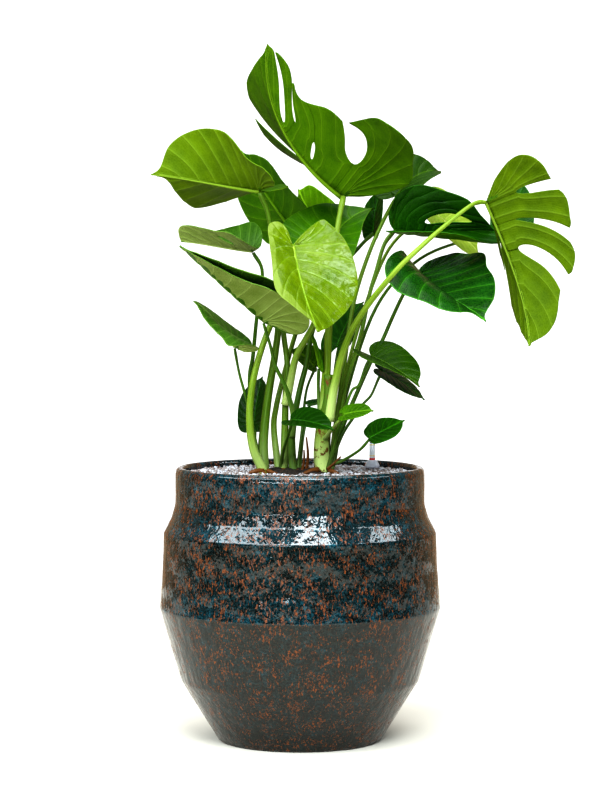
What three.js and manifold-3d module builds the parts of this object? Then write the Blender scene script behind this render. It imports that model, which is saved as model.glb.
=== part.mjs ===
// A swiss cheese plant in a round glazed pot: four shoots of long stalks, each stalk holding one leaf blade.
// Millimetres, +Z up. The origin is the middle of the flat foot that the pot stands on, and -Y is the front.
import * as THREE from 'three';
import { mergeVertices } from 'three/addons/utils/BufferGeometryUtils.js';
import Module from 'manifold-3d';

const wasm = await Module();
wasm.setup();

// Driving dimensions
const GAP = 0.3;
const RIM_HEIGHT = 342.5;
const PUMICE_TOP = 335;
const PUMICE_DEPTH = 12;
const PUMICE_ROUGHNESS = 1.6;
const FILL_RADIUS = 145.4;
const SOIL_CLEARANCE = 0.6;
const ROOT_DEPTH = 55;
const BLADE_THICKNESS = 1.1;
const STALK_SETBACK = 0.5;
const SHOULDER_HEIGHT = 8;
const CROWN_HEIGHT = 20;
const POT_SIDES = 48;
const STALK_SIDES = 7;
const STALK_STEP = 26.5;

// Half outline of the pot, outside: radius and height from the foot up to the rolled lip
const POT_OUTSIDE = [
  [100, 0], [104, 2], [107, 7], [150, 76], [176, 166], [172.5, 215], [171, 261],
  [161, 280], [156.5, 296], [156.5, 334], [155.5, 339], [153, 342], [150, RIM_HEIGHT],
];
// Inside: radius and height from the lip down to the floor
const POT_INSIDE = [
  [147.5, 341.5], [146, 338.5], [146, 300], [160, 262], [164, 166], [138, 76], [98, 14],
];
const POT_FLOOR = 12;

// Blade outline for a leaf of length 1 and half width 1, from the notch at the stalk round to the tip
const OUTLINE = [
  [0, 0], [0.2, -0.13], [0.46, -0.18], [0.74, -0.13], [0.94, 0.03], [1, 0.24],
  [0.93, 0.46], [0.74, 0.67], [0.42, 0.84], [0.11, 0.93], [0, 1],
];
const FAN_END = 0.4;
const LARGE_GRID = { columns: 12, rows: 4 };
const SMALL_GRID = { columns: 8, rows: 3 };

// Colours, as seen in daylight
const LEAF_LIGHT = 0x6f9a20;
const LEAF_DARK = 0x1d5a1c;
const LEAF_NEW = 0x8fc41e;
const LEAF_GREY = 0x6f9440;

const radians = THREE.MathUtils.degToRad;
const clamp = THREE.MathUtils.clamp;

// Shoots: each is one rootstock standing in its own hole, with all the stalks that grow from it
const SHOOTS = [
  { name: 'left_shoot', at: [-47, -8], radius: 13, colour: 0x7da63c },
  { name: 'middle_shoot', at: [-25, 8], radius: 10, colour: 0x5c8c2c },
  { name: 'centre_shoot', at: [-3, -4], radius: 9, colour: 0x35701c },
  { name: 'main_shoot', at: [29, 2], radius: 12, colour: 0x86aa44,
    stem: { points: [[27, 2, 362], [29, 1, 392], [34, 0, 424], [36, 0, 458]], radii: [11, 7] } },
];

// Leaves, in degrees and millimetres.
// at: where the blade meets its stalk. turn, rise, roll: the way the midrib leaves it, and the tilt about it.
// length: of the midrib. width: half widths, left and right, as a share of the length. lobe: how deep the two
// lobes beside the stalk hang. droop: how far the midrib bends down, at first and then further on. sweep: how
// far it bends sideways. fold, unfold, curl: the fold of the left and right half, what it gains by the tip,
// and the bend from midrib to margin. twist: turn of the blade about its midrib. belly: how far veins bow.
// reach: how far out the margin lies at even places from notch to tip, with 1 for OUTLINE itself.
// cuts: side (-1 left, 1 right), place round the outline, where the cut starts and ends between midrib (0)
// and margin (1), half width inside and at its end, and how far it leans towards the tip on its way out.
// stalk: points from the rootstock up to the blade, and its radius at the bottom and at the top.
const LEAVES = [
  { name: 'top', shoot: 'main_shoot', colour: LEAF_LIGHT, grid: LARGE_GRID,
    at: [53, 20, 680], turn: 190, rise: 36, roll: 120, length: 226, width: [0.74, 0.38],
    lobe: [1.2, 0.2], droop: [16, 38], sweep: -38, fold: [-64, 141], unfold: [24, -66], curl: [-52, -5],
    twist: 19, belly: 0,
    cuts: [[-1, 0.49, 0.27, 1, 0.055, 0.012, 0.165], [-1, 0.65, 0.1, 0.32, 0.008, 0, 0.12],
      [-1, 0.765, 0.4, 1, 0.008, 0.004, 0.12], [-1, 0.8, 0.1, 1, 0.03, 0.003, 0.15],
      [1, 0.62, 0.4, 1, 0.02, 0.03, 0.05]],
    reach: [[0.61, 0.57, 0.99, 0.96, 1.19, 0.96, 0.61, 0.58, 0.52, 1.12, 1.17],
      [0.94, 0.97, 1.01, 1.09, 1.2, 1.3, 1.28, 1.19, 0.97, 0.97, 0.96]],
    stalk: { points: [[30, 1, 380], [31, 0, 430], [34, 2, 475], [36, 2, 516], [42, 4, 590],
      [47, 8, 641]], radii: [5.5, 3.2] } },
  { name: 'left', shoot: 'left_shoot', colour: LEAF_LIGHT, grid: LARGE_GRID,
    at: [-50, 10, 687], turn: 159, rise: 8, roll: 37, length: 143, width: [0.59, 0.5], lobe: [1.1, 1.1],
    droop: [1, 14], sweep: -17, fold: [2, 42], unfold: [25, -25], curl: [5, 9], twist: -39, belly: 0.11,
    cuts: [],
    reach: [[1.28, 1.19, 1.02, 0.83, 0.71, 0.86, 0.89, 0.94, 1.05, 0.99, 0.97],
      [1.04, 0.98, 0.9, 0.83, 0.81, 0.9, 1.11, 0.94, 0.77, 0.63, 0.57]],
    stalk: { points: [[-46, 0, 342], [-46, 6, 376], [-40, 12, 430], [-31, 14, 485], [-27, 14, 530],
      [-32, 17, 600], [-39, 14, 655]], radii: [5.5, 2.8] } },
  { name: 'left_back', shoot: 'middle_shoot', colour: LEAF_DARK, grid: LARGE_GRID,
    at: [-13, 131, 645], turn: 184, rise: 52, roll: 46, length: 117, width: [0.4, 0.45],
    lobe: [0.4, 0.4], droop: [-9, -3], sweep: -4, fold: [2, 9], curl: [-24, -18], twist: 3, belly: 0.07,
    cuts: [],
    reach: [[0.99, 1.03, 1.08, 1.12, 1.13, 0.99, 0.94, 1.05, 1.05, 1.03, 1.02],
      null],
    stalk: { points: [[-20, 6, 345], [-19, 8, 390], [-18, 8, 430], [-16, 12, 471], [-21, 30, 515],
      [-20, 74, 580], [-17, 110, 624]], radii: [4.2, 2.6] } },
  { name: 'left_low', shoot: 'left_shoot', colour: LEAF_LIGHT, grid: LARGE_GRID,
    at: [-59, 0, 612], turn: 160, rise: 5, roll: -21, length: 103, width: [0.48, 0.41], lobe: [0.8, 0.8],
    droop: [-13, 20], sweep: 13, fold: [40, 48], unfold: [20, -35], curl: [0, -11], twist: -9,
    belly: -0.11,
    cuts: [[-1, 0.6, 0.3, 0.72, 0.03, 0, 0.1]],
    reach: [[0.85, 0.85, 0.85, 0.78, 0.91, 1.01, 0.91, 0.99, 1.26, 1.36, 1.24],
      [0.92, 0.76, 0.65, 0.74, 0.91, 1.02, 0.95, 0.97, 1.08, 1.22, 1.34]],
    stalk: { points: [[-52, 0, 345], [-60, 4, 380], [-63, 6, 451], [-59, 6, 480], [-54, 4, 530],
      [-47, 2, 585]], radii: [3, 2] } },
  { name: 'grey', shoot: 'centre_shoot', colour: LEAF_GREY, grid: LARGE_GRID,
    at: [-45, -40, 523], turn: 201, rise: 41, roll: 42, length: 170, width: [0.52, 0.43], lobe: [1.3, 1.3],
    droop: [34, -2], sweep: -26, fold: [-18, 138], curl: [-12, -15], twist: 11, belly: -0.05, cuts: [],
    stalk: { points: [[-10, -4, 380], [-8, -11, 404], [-14, -20, 432], [-22, -24, 452], [-31, -26, 471],
      [-37, -34, 496]], radii: [3, 1.5] } },
  { name: 'left_small', shoot: 'left_shoot', colour: LEAF_GREY, grid: SMALL_GRID,
    at: [-81, 0, 492], turn: 190, rise: 53, roll: 29, length: 86, width: [0.58, 0.5], lobe: [1, 1],
    droop: [13, 22], sweep: -25, fold: [5, 67], unfold: [-52, -52], curl: [-41, -13], twist: 8,
    belly: -0.04, cuts: [],
    reach: [[0.97, 1.03, 1.1, 1.19, 1.33, 1.36, 1.05, 0.9, 0.92, 0.96, 1],
      [0.99, 1.01, 1.04, 1.08, 1.07, 1.02, 0.97, 0.95, 0.96, 0.98, 1]],
    stalk: { points: [[-50, -2, 345], [-58, 0, 385], [-68, -2, 430], [-76, -2, 460]], radii: [2, 1.5] } },
  { name: 'new', shoot: 'middle_shoot', colour: LEAF_NEW, grid: LARGE_GRID,
    at: [-8, -60, 618], turn: -81, rise: -52, roll: -11, length: 136, width: [0.58, 0.29],
    lobe: [1.1, 1.1], droop: [-10, 6], sweep: -13, fold: [23, 23], unfold: [-36, -16], curl: [17, -24],
    twist: 17, belly: 0.08, cuts: [],
    reach: [[0.64, 0.78, 1.01, 0.85, 0.85, 0.9, 0.96, 0.95, 0.99, 1.15, 1.29],
      [1.01, 1.05, 1.12, 1.13, 0.96, 0.91, 1.09, 0.97, 0.85, 0.73, 0.71]],
    stalk: { points: [[-18, 4, 420], [-13, 0, 444], [-5, -4, 480], [7, -6, 502], [19, -12, 527],
      [22, -24, 562], [10, -44, 597]], radii: [4, 3] } },
  { name: 'middle', shoot: 'left_shoot', colour: LEAF_DARK, grid: LARGE_GRID,
    at: [28, 52, 614], turn: 22, rise: 53, roll: 28, length: 108, width: [0.58, 0.45], lobe: [1, 1],
    droop: [43, 11], sweep: -10, fold: [22, 14], curl: [2, -23], twist: 14, belly: -0.17, cuts: [],
    reach: [[0.99, 1.01, 1.03, 1.06, 1.07, 1.02, 1.01, 1.02, 0.86, 0.88, 0.93],
      [0.99, 1.02, 1.06, 1.1, 1.12, 1.05, 0.98, 0.83, 0.83, 0.89, 0.97]],
    stalk: { points: [[-47, -8, 340], [-57, -14, 362], [-62, -16, 390], [-62, -14, 424], [-55, -10, 466],
      [-38, -2, 517], [-10, 24, 573]], radii: [4.5, 3.2] } },
  { name: 'back_top', shoot: 'middle_shoot', colour: LEAF_DARK, grid: SMALL_GRID,
    at: [36, 125, 630], turn: 140, rise: 46, roll: 83, length: 89, width: [0.45, 0.45], lobe: [1, 1],
    droop: [-13, -4], sweep: 0, fold: [8, 2], curl: [-16, -17], twist: -1, belly: 0.03, cuts: [],
    reach: [[0.99, 1.01, 1.02, 1.05, 1.06, 1.05, 0.97, 0.98, 1.12, 1.12, 1.1],
      null],
    stalk: { points: [[-28, 12, 345], [-33, 22, 390], [-30, 26, 416], [-23, 34, 446], [-8, 54, 500],
      [12, 88, 560], [28, 114, 607]], radii: [3.5, 2.4] } },
  { name: 'right_top', shoot: 'main_shoot', colour: LEAF_DARK, grid: SMALL_GRID,
    at: [123, 70, 683], turn: 34, rise: 50, roll: 16, length: 83, width: [0.48, 0.42], lobe: [1, 1],
    droop: [42, 15], sweep: 7, fold: [35, 19], curl: [-5, -10], twist: -7, belly: 0.09, cuts: [],
    stalk: { points: [[38, 10, 345], [46, 22, 400], [56, 32, 470], [68, 46, 547], [87, 56, 608],
      [108, 66, 655]], radii: [3, 2.4] } },
  { name: 'right_back', shoot: 'centre_shoot', colour: LEAF_DARK, grid: SMALL_GRID,
    at: [95, 110, 638], turn: 54, rise: 86, roll: -24, length: 56, width: [0.44, 0.42], lobe: [1, 1],
    droop: [15, 6], sweep: 1, fold: [16, 16], curl: [-14, -11], twist: -3, belly: 0.06, cuts: [],
    stalk: { points: [[-9, -2, 345], [-10, -2, 390], [-5, 0, 416], [1, 4, 444], [8, 10, 471],
      [18, 22, 520], [45, 60, 580], [78, 96, 620]], radii: [4, 2.2] } },
  { name: 'right_dark', shoot: 'main_shoot', colour: LEAF_DARK, grid: LARGE_GRID,
    at: [119, 36, 639], turn: 0, rise: -3, roll: 20, length: 133, width: [0.45, 0.55], lobe: [0.5, 0.5],
    droop: [-2, 6], sweep: -19, fold: [66, 5], unfold: [10, -8], curl: [0, 31], twist: -8, belly: -0.06,
    cuts: [[-1, 0.66, 0.18, 0.74, 0.045, 0, 0.25]],
    reach: [[0.7, 0.7, 0.7, 0.66, 0.86, 1.02, 1.03, 1.07, 0.95, 1.04, 1.09],
      [1, 0.98, 0.96, 0.94, 0.95, 1.05, 1.31, 1.3, 1.31, 1.3, 1.27]],
    stalk: { points: [[41, 6, 357], [49, 10, 396], [59, 14, 450], [76, 18, 505], [87, 26, 556],
      [96, 30, 587], [106, 34, 620]], radii: [3, 2.4] } },
  { name: 'right_light', shoot: 'main_shoot', colour: LEAF_LIGHT, grid: SMALL_GRID,
    at: [168, 75, 663], turn: 27, rise: -31, roll: 48, length: 93, width: [0.47, 0.44], lobe: [1, 1],
    droop: [12, 3], sweep: -1, fold: [22, 15], curl: [-10, -12], twist: -5, belly: 0.04, cuts: [],
    stalk: { points: [[40, 12, 345], [50, 28, 420], [75, 40, 520], [110, 60, 610], [147, 74, 649]],
      radii: [2.5, 2] } },
  { name: 'heart', shoot: 'main_shoot', colour: LEAF_DARK, grid: LARGE_GRID,
    at: [147, 26, 583], turn: -50, rise: -30, roll: -26, length: 134, width: [0.59, 0.68],
    lobe: [0.7, 0.7], droop: [-25, 23], sweep: 1, fold: [39, 24], unfold: [13, -19], curl: [22, -44],
    twist: -13, belly: -0.01, cuts: [],
    reach: [[0.96, 1.04, 1.09, 1.19, 1.04, 1.08, 0.94, 0.96, 0.99, 0.93, 0.88],
      [0.8, 0.8, 0.8, 0.63, 0.73, 1.13, 1.26, 1.18, 1.25, 0.83, 0.63]],
    stalk: { points: [[38, 0, 351], [53, 0, 392], [70, 0, 432], [90, -2, 477], [103, -2, 501],
      [116, 6, 530], [131, 20, 560]], radii: [2.8, 2.2] } },
  { name: 'right', shoot: 'main_shoot', colour: LEAF_LIGHT, grid: LARGE_GRID,
    at: [228, -60, 671], turn: -9, rise: -66, roll: -65, length: 195, width: [0.41, 0.68],
    lobe: [0.1, 0.9], droop: [15, 30], sweep: 4, fold: [58, -2], unfold: [-13, 12], curl: [12, -5],
    twist: 18, belly: -0.09,
    cuts: [[1, 0.43, 0.42, 1, 0.03, 0.03, 0.04], [1, 0.575, 0.26, 1, 0.007, 0.02, 0.09],
      [1, 0.69, 0.17, 1, 0.025, 0.02, 0.08], [-1, 0.6, 0.4, 1, 0.01, 0.03, 0.05]],
    reach: [[1.04, 0.97, 0.9, 0.83, 0.81, 0.93, 1.02, 1.01, 0.85, 0.98, 1.06],
      [0.71, 0.91, 1.08, 0.95, 0.78, 0.77, 0.75, 0.79, 0.8, 1.14, 1]],
    stalk: { points: [[36, -4, 400], [43, -8, 444], [56, -24, 494], [76, -54, 535], [115, -94, 586],
      [147, -92, 617], [177, -82, 643], [205, -77, 665], [218, -67, 671]], radii: [4.7, 2.3] } },
  { name: 'right_small', shoot: 'main_shoot', colour: LEAF_DARK, grid: SMALL_GRID,
    at: [88, -30, 482], turn: -39, rise: -19, roll: 26, length: 81, width: [0.45, 0.43],
    lobe: [0.9, 0.9], droop: [12, 6], sweep: 2, fold: [15, 44], curl: [-13, -19], twist: 3, belly: 0.01,
    cuts: [],
    reach: [[0.98, 0.96, 0.96, 1.01, 1, 0.95, 0.92, 0.96, 1, 0.99, 0.99],
      [0.98, 1, 1.03, 1.06, 1.1, 1.11, 1.05, 1, 0.93, 0.91, 0.92]],
    stalk: { points: [[36, -8, 345], [48, -18, 390], [63, -24, 436], [73, -28, 446], [81, -29, 468]],
      radii: [2, 1.5] } },
  { name: 'right_narrow', shoot: 'main_shoot', colour: LEAF_DARK, grid: SMALL_GRID,
    at: [103, 0, 462], turn: 2, rise: -27, roll: 37, length: 65, width: [0.42, 0.5], lobe: [1, 1],
    droop: [14, 5], sweep: 0, fold: [-12, 29], curl: [-21, -17], twist: -2, belly: 0.01, cuts: [],
    stalk: { points: [[39, -2, 350], [53, -4, 383], [66, -2, 403], [79, 0, 421], [89, 0, 432],
      [97, 0, 450]], radii: [2, 1.4] } },
  { name: 'stub', shoot: 'main_shoot', colour: LEAF_LIGHT, grid: SMALL_GRID,
    at: [54, -45, 410], turn: -18, rise: 15, roll: 33, length: 38, width: [0.44, 0.43], lobe: [0.9, 0.9],
    droop: [13, 4], sweep: 0, fold: [13, 13], curl: [-14, -12], twist: -2, belly: 0.03, cuts: [],
    stalk: { points: [[31, -6, 378], [42, -30, 394]], radii: [2, 1.5] } },
  { name: 'gauge_side', shoot: 'main_shoot', colour: LEAF_DARK, grid: SMALL_GRID,
    at: [86, -30, 380], turn: 9, rise: 26, roll: 31, length: 50, width: [0.5, 0.5], lobe: [0.3, 0.3],
    droop: [2, 1], sweep: -5, fold: [13, 13], curl: [-14, -13], twist: -1, belly: 0.02, cuts: [],
    reach: [[1.03, 0.95, 0.85, 0.75, 0.7, 0.9, 1, 0.95, 0.94, 0.96, 0.98],
      [1.01, 0.92, 0.83, 0.75, 0.75, 0.89, 1.01, 1.01, 1, 0.99, 0.99]],
    stalk: { points: [[36, -4, 343], [53, -16, 351], [74, -25, 365]], radii: [1.8, 1.3] } },
  { name: 'centre_small', shoot: 'middle_shoot', colour: LEAF_DARK, grid: SMALL_GRID,
    at: [-9, -60, 404], turn: -30, rise: 0, roll: 25, length: 57, width: [0.45, 0.42], lobe: [0.8, 0.8],
    droop: [20, 6], sweep: 0, fold: [17, 19], curl: [-10, -8], twist: 0, belly: -0.02, cuts: [],
    reach: [[0.95, 0.9, 0.85, 0.87, 0.98, 1.03, 1.03, 0.95, 0.93, 0.95, 0.98],
      null],
    stalk: { points: [[-24, 2, 345], [-21, -14, 362], [-16, -36, 380]], radii: [1.8, 1.4] } },
  { name: 'low_left', shoot: 'left_shoot', colour: LEAF_DARK, grid: SMALL_GRID,
    at: [-58, 46, 393], turn: 62, rise: 78, roll: -15, length: 63, width: [0.44, 0.41], lobe: [1, 1],
    droop: [9, 4], sweep: -1, fold: [15, 20], curl: [-13, -10], twist: -1, belly: 0.02, cuts: [],
    reach: [[1, 1, 0.99, 0.99, 1, 1.01, 1.05, 1.05, 1.06, 1.1, 1.09],
      [1.01, 0.98, 0.94, 0.9, 0.89, 0.95, 0.97, 0.98, 1.01, 1.01, 1.02]],
    stalk: { points: [[-50, 0, 343], [-56, 24, 364]], radii: [1.8, 1.4] } },
  { name: 'low_back', shoot: 'centre_shoot', colour: LEAF_DARK, grid: SMALL_GRID,
    at: [20, 45, 467], turn: 197, rise: 46, roll: 37, length: 41, width: [0.48, 0.42], lobe: [1, 1],
    droop: [26, 9], sweep: 1, fold: [21, 16], curl: [-9, -12], twist: -2, belly: 0.03, cuts: [],
    reach: [[0.99, 0.99, 0.98, 0.99, 1.01, 1.08, 1.09, 1.07, 1.04, 1.02, 1],
      null],
    stalk: { points: [[-2, 0, 345], [3, 16, 390], [8, 28, 436]], radii: [1.8, 1.4] } },
  { name: 'dark_back', shoot: 'main_shoot', colour: LEAF_DARK, grid: SMALL_GRID,
    at: [48, 64, 492], turn: 51, rise: 62, roll: -17, length: 73, width: [0.43, 0.44], lobe: [1, 1],
    droop: [19, 8], sweep: 4, fold: [19, 10], curl: [-16, -17], twist: -5, belly: 0.05, cuts: [],
    stalk: { points: [[34, 8, 345], [38, 28, 400], [44, 52, 460]], radii: [2, 1.5] } },
  { name: 'far_right', shoot: 'main_shoot', colour: LEAF_DARK, grid: SMALL_GRID,
    at: [267, 88, 632], turn: 80, rise: 75, roll: 0, length: 86, width: [0.28, 0.38], lobe: [0.6, 0.6],
    droop: [10, 5], sweep: 3, fold: [12, 12], curl: [-12, -12], twist: 0, belly: 0.03, cuts: [],
    stalk: { points: [[42, 14, 345], [58, 34, 430], [96, 50, 540], [150, 96, 600], [212, 132, 626],
      [250, 120, 628], [266, 100, 622]], radii: [2.4, 1.8] } },
  { name: 'edge_on', shoot: 'main_shoot', colour: LEAF_DARK, grid: SMALL_GRID,
    at: [25, 0, 466], turn: 180, rise: 78, roll: 8, length: 50, width: [0.2, 0.2], lobe: [0.6, 0.6],
    droop: [6, 2], sweep: 0, fold: [22, 22], curl: [-8, -8], twist: 0, belly: 0.03, cuts: [],
    stalk: { points: [[25, 3, 396], [23, 3, 440]], radii: [2, 1.5] } },
  { name: 'behind_stem', shoot: 'centre_shoot', colour: LEAF_DARK, grid: SMALL_GRID,
    at: [12, 24, 419], turn: 8, rise: 14, roll: 12, length: 28, width: [0.46, 0.44], lobe: [0.8, 0.8],
    droop: [12, 4], sweep: 0, fold: [14, 14], curl: [-12, -12], twist: 0, belly: 0.03, cuts: [],
    stalk: { points: [[0, 2, 345], [4, 14, 380]], radii: [1.8, 1.3] } },
];

// Water gauge
const GAUGE = { at: [92, 55], top: 381, tubeRadius: 3.6, collarRadius: 9.5, collarHeight: 10, depth: 60 };

// A smooth curve through evenly spaced points, p from 0 to 1
function through(points, p) {
  const last = points.length - 1;
  const place = clamp(p, 0, 1) * last;
  const i = Math.min(Math.floor(place), last - 1);
  const f = place - i;
  const point = (k) => {
    if (k < 0) return points[0].map((v, axis) => 2 * v - points[1][axis]);
    if (k > last) return points[last].map((v, axis) => 2 * v - points[last - 1][axis]);
    return points[k];
  };
  const [a, b, c, d] = [point(i - 1), point(i), point(i + 1), point(i + 2)];
  return b.map((v, axis) => 0.5 * (2 * v + (c[axis] - a[axis]) * f
    + (2 * a[axis] - 5 * v + 4 * c[axis] - d[axis]) * f * f
    + (3 * v - a[axis] - 3 * c[axis] + d[axis]) * f ** 3));
}

// Where a vein leaves the midrib: the first ones all fan out from the stalk
const veinStart = (p) => (p <= FAN_END ? 0 : ((p - FAN_END) / (1 - FAN_END)) ** 1.5);

// Flat blade: p runs round the outline from the notch to the tip, q from the midrib out to the margin
function flatPoint(leaf, side, p, q) {
  let [marginX, marginY] = through(OUTLINE, p);
  if (marginY < 0) marginY *= leaf.lobe[side < 0 ? 0 : 1];
  const start = veinStart(p);
  const knots = leaf.reach?.[side < 0 ? 0 : 1];
  if (knots) {
    const [reach] = through(knots.map((knot) => [knot]), p);
    marginX *= reach;
    marginY = start + (marginY - start) * reach;
  }
  const bowY = start + 0.2 * (marginY - start);
  const x = 2 * q * (1 - q) * 0.55 * marginX + q * q * marginX;
  const y = (1 - q) ** 2 * start + 2 * q * (1 - q) * bowY + q * q * marginY;
  return [x, y + leaf.belly * Math.sin(Math.PI * clamp(y, 0, 1)) * clamp(x, 0, 1)];
}

// The same point on the bent blade, in the blade's own axes: X right, Y along the midrib, Z up
function bentPoint(leaf, side, [x, y]) {
  const [droop1, droop2] = leaf.droop.map(radians);
  const sweep = radians(leaf.sweep);
  const along = Math.max(y, 0);
  const steps = 24;
  const middle = new THREE.Vector3();
  for (let k = 0; k < steps; k += 1) {
    const t = along * (k + 0.5) / steps;
    const down = droop1 * t + droop2 * t * t;
    middle.add(new THREE.Vector3(
      Math.sin(sweep * t) * Math.cos(down), Math.cos(sweep * t) * Math.cos(down), -Math.sin(down)));
  }
  middle.multiplyScalar(along * leaf.length / steps);
  middle.y += Math.min(y, 0) * leaf.length;
  const down = droop1 * along + droop2 * along * along;
  const forward = new THREE.Vector3(
    Math.sin(sweep * along) * Math.cos(down), Math.cos(sweep * along) * Math.cos(down), -Math.sin(down));
  const across = new THREE.Vector3(Math.cos(sweep * along), -Math.sin(sweep * along), 0);
  const normal = new THREE.Vector3().crossVectors(across, forward);
  across.applyAxisAngle(forward, -radians(leaf.twist) * y);
  normal.applyAxisAngle(forward, -radians(leaf.twist) * y);
  const half = side < 0 ? 0 : 1;
  const fold = radians(leaf.fold[half] + (leaf.unfold?.[half] ?? 0) * y);
  const curl = radians(leaf.curl[half]) || 1e-4;
  const width = leaf.width[half] * leaf.length;
  const out = (Math.sin(fold + curl * x) - Math.sin(fold)) / curl * width;
  const up = (Math.cos(fold) - Math.cos(fold + curl * x)) / curl * width;
  return middle.addScaledVector(across, side * out).addScaledVector(normal, up);
}

// The blade's axes in space
function bladeFrame(leaf) {
  const [turn, rise, roll] = [leaf.turn, leaf.rise, leaf.roll].map(radians);
  const along = new THREE.Vector3(
    Math.cos(rise) * Math.cos(turn), Math.cos(rise) * Math.sin(turn), Math.sin(rise));
  const right = new THREE.Vector3(along.y, -along.x, 0).normalize();
  right.applyAxisAngle(along, roll);
  const up = new THREE.Vector3().crossVectors(right, along);
  return new THREE.Matrix4().makeBasis(right, along, up).setPosition(...leaf.at);
}

// Half width of a cut at q: round at its inner end, and at its outer end too where it is a closed hole
function cutWidth([, , start, end, inside, outside], q) {
  if (q <= start || (end < 1 && q >= end)) return 0;
  const s = (q - start) / (end - start);
  const roundIn = Math.sqrt(1 - (1 - Math.min(s / 0.35, 1)) ** 2);
  const roundOut = end < 1 ? Math.sqrt(1 - (1 - Math.min((1 - s) / 0.35, 1)) ** 2) : 1;
  return (end < 1 ? inside : inside + (outside - inside) * s) * roundIn * roundOut;
}

const cutLean = ([, , start, , , , lean], q) => lean * Math.max(q - start, 0);

// Middle surface of a blade: points and triangles, with each cut opened between two columns of the grid
function bladeSurface(leaf) {
  const frame = bladeFrame(leaf);
  const places = new Set(leaf.cuts.map((cut) => cut[1]));
  for (let k = 0; k <= leaf.grid.columns; k += 1) {
    const p = k / leaf.grid.columns;
    if (![...places].some((place) => Math.abs(place - p) < 0.6 / leaf.grid.columns)) places.add(p);
  }
  const columns = [...places].sort((a, b) => a - b);
  const rows = Array.from({ length: leaf.grid.rows + 1 }, (_, k) => k / leaf.grid.rows);
  const points = [];
  const names = new Map();
  const vertex = (side, column, q, edge, p) => {
    let name = `${side} ${column} ${q} ${edge}`;
    if (columns[column] === 0 || (q === 0 && columns[column] <= FAN_END)) name = 'base';
    else if (columns[column] === 1) name = 'tip';
    else if (q === 0) name = `rib ${column}`;
    if (!names.has(name)) {
      names.set(name, points.length);
      const flat = name === 'base' ? [0, 0] : flatPoint(leaf, side, p, q);
      points.push(bentPoint(leaf, side, flat).applyMatrix4(frame));
    }
    return names.get(name);
  };
  const triangles = [];
  const addTriangle = (a, b, c, side) => {
    if (a === b || b === c || c === a) return;
    triangles.push(side < 0 ? [a, c, b] : [a, b, c]);
  };
  for (const side of [-1, 1]) {
    const cuts = leaf.cuts.filter((cut) => cut[0] === side).sort((a, b) => a[1] - b[1]);
    const strips = [null, ...cuts, null];
    for (let s = 0; s + 1 < strips.length; s += 1) {
      const [before, after] = [strips[s], strips[s + 1]];
      const from = before ? before[1] : 0;
      const to = after ? after[1] : 1;
      const inStrip = columns.map((p, k) => k).filter((k) => columns[k] >= from && columns[k] <= to);
      const at = (k, q) => {
        const left = before ? cutWidth(before, q) : 0;
        const right = after ? cutWidth(after, q) : 0;
        const start = from + (before ? cutLean(before, q) : 0) + left;
        const end = to + (after ? cutLean(after, q) : 0) - right;
        const p = start + (end - start) * (columns[k] - from) / (to - from);
        let edge = 'inner';
        if (columns[k] === from && left > 0) edge = 'after';
        if (columns[k] === to && right > 0) edge = 'before';
        return vertex(side, k, q, edge, p);
      };
      for (let c = 0; c + 1 < inStrip.length; c += 1) {
        for (let r = 0; r + 1 < rows.length; r += 1) {
          const [k1, k2] = [inStrip[c], inStrip[c + 1]];
          const [q1, q2] = [rows[r], rows[r + 1]];
          const [a, b, d, e] = [at(k1, q1), at(k1, q2), at(k2, q2), at(k2, q1)];
          addTriangle(a, b, d, side);
          addTriangle(a, d, e, side);
        }
      }
    }
  }
  return { points, triangles };
}

// The edges that only one triangle has
function rimEdges(triangles) {
  const edges = new Map();
  for (const [a, b, c] of triangles) {
    for (const [from, to] of [[a, b], [b, c], [c, a]]) {
      if (edges.has(`${to} ${from}`)) edges.delete(`${to} ${from}`);
      else edges.set(`${from} ${to}`, [from, to]);
    }
  }
  return [...edges.values()];
}

// Moves the rim of a surface outward in its own plane
function growRim(points, triangles, normals, distance) {
  const outward = new Map();
  for (const [from, to] of rimEdges(triangles)) {
    const way = points[to].clone().sub(points[from]).cross(normals[from]).normalize();
    for (const v of [from, to]) outward.set(v, (outward.get(v) || new THREE.Vector3()).add(way));
  }
  for (const [v, way] of outward) points[v].addScaledVector(way.normalize(), distance);
}

// A closed sheet of even thickness round a surface, the same triangles on both faces, grown sideways or not
function thicken({ points: places, triangles }, thickness, grow = 0) {
  const points = places.map((point) => point.clone());
  const faceNormals = triangles.map(([a, b, c]) => new THREE.Vector3()
    .crossVectors(points[b].clone().sub(points[a]), points[c].clone().sub(points[a])));
  const normals = points.map(() => new THREE.Vector3());
  triangles.forEach((triangle, f) => triangle.forEach((v) => normals[v].add(faceNormals[f])));
  faceNormals.forEach((n) => n.normalize());
  normals.forEach((n) => n.normalize());
  const least = points.map(() => 1);
  triangles.forEach((triangle, f) => triangle.forEach((v) => {
    least[v] = Math.min(least[v], normals[v].dot(faceNormals[f]));
  }));
  if (grow > 0) growRim(points, triangles, normals, grow);
  const offset = (v, way) => points[v].clone()
    .addScaledVector(normals[v], way * thickness / 2 / Math.max(least[v], 0.4));
  const positions = [...points.keys()].map((v) => offset(v, 1))
    .concat([...points.keys()].map((v) => offset(v, -1)));
  const under = points.length;
  const index = [];
  for (const [a, b, c] of triangles) index.push(a, b, c, under + a, under + c, under + b);
  for (const [from, to] of rimEdges(triangles)) {
    index.push(from, under + from, under + to, from, under + to, to);
  }
  const geometry = new THREE.BufferGeometry();
  geometry.setAttribute(
    'position', new THREE.Float32BufferAttribute(positions.flatMap((v) => v.toArray()), 3));
  geometry.setIndex(index);
  return geometry;
}

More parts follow.
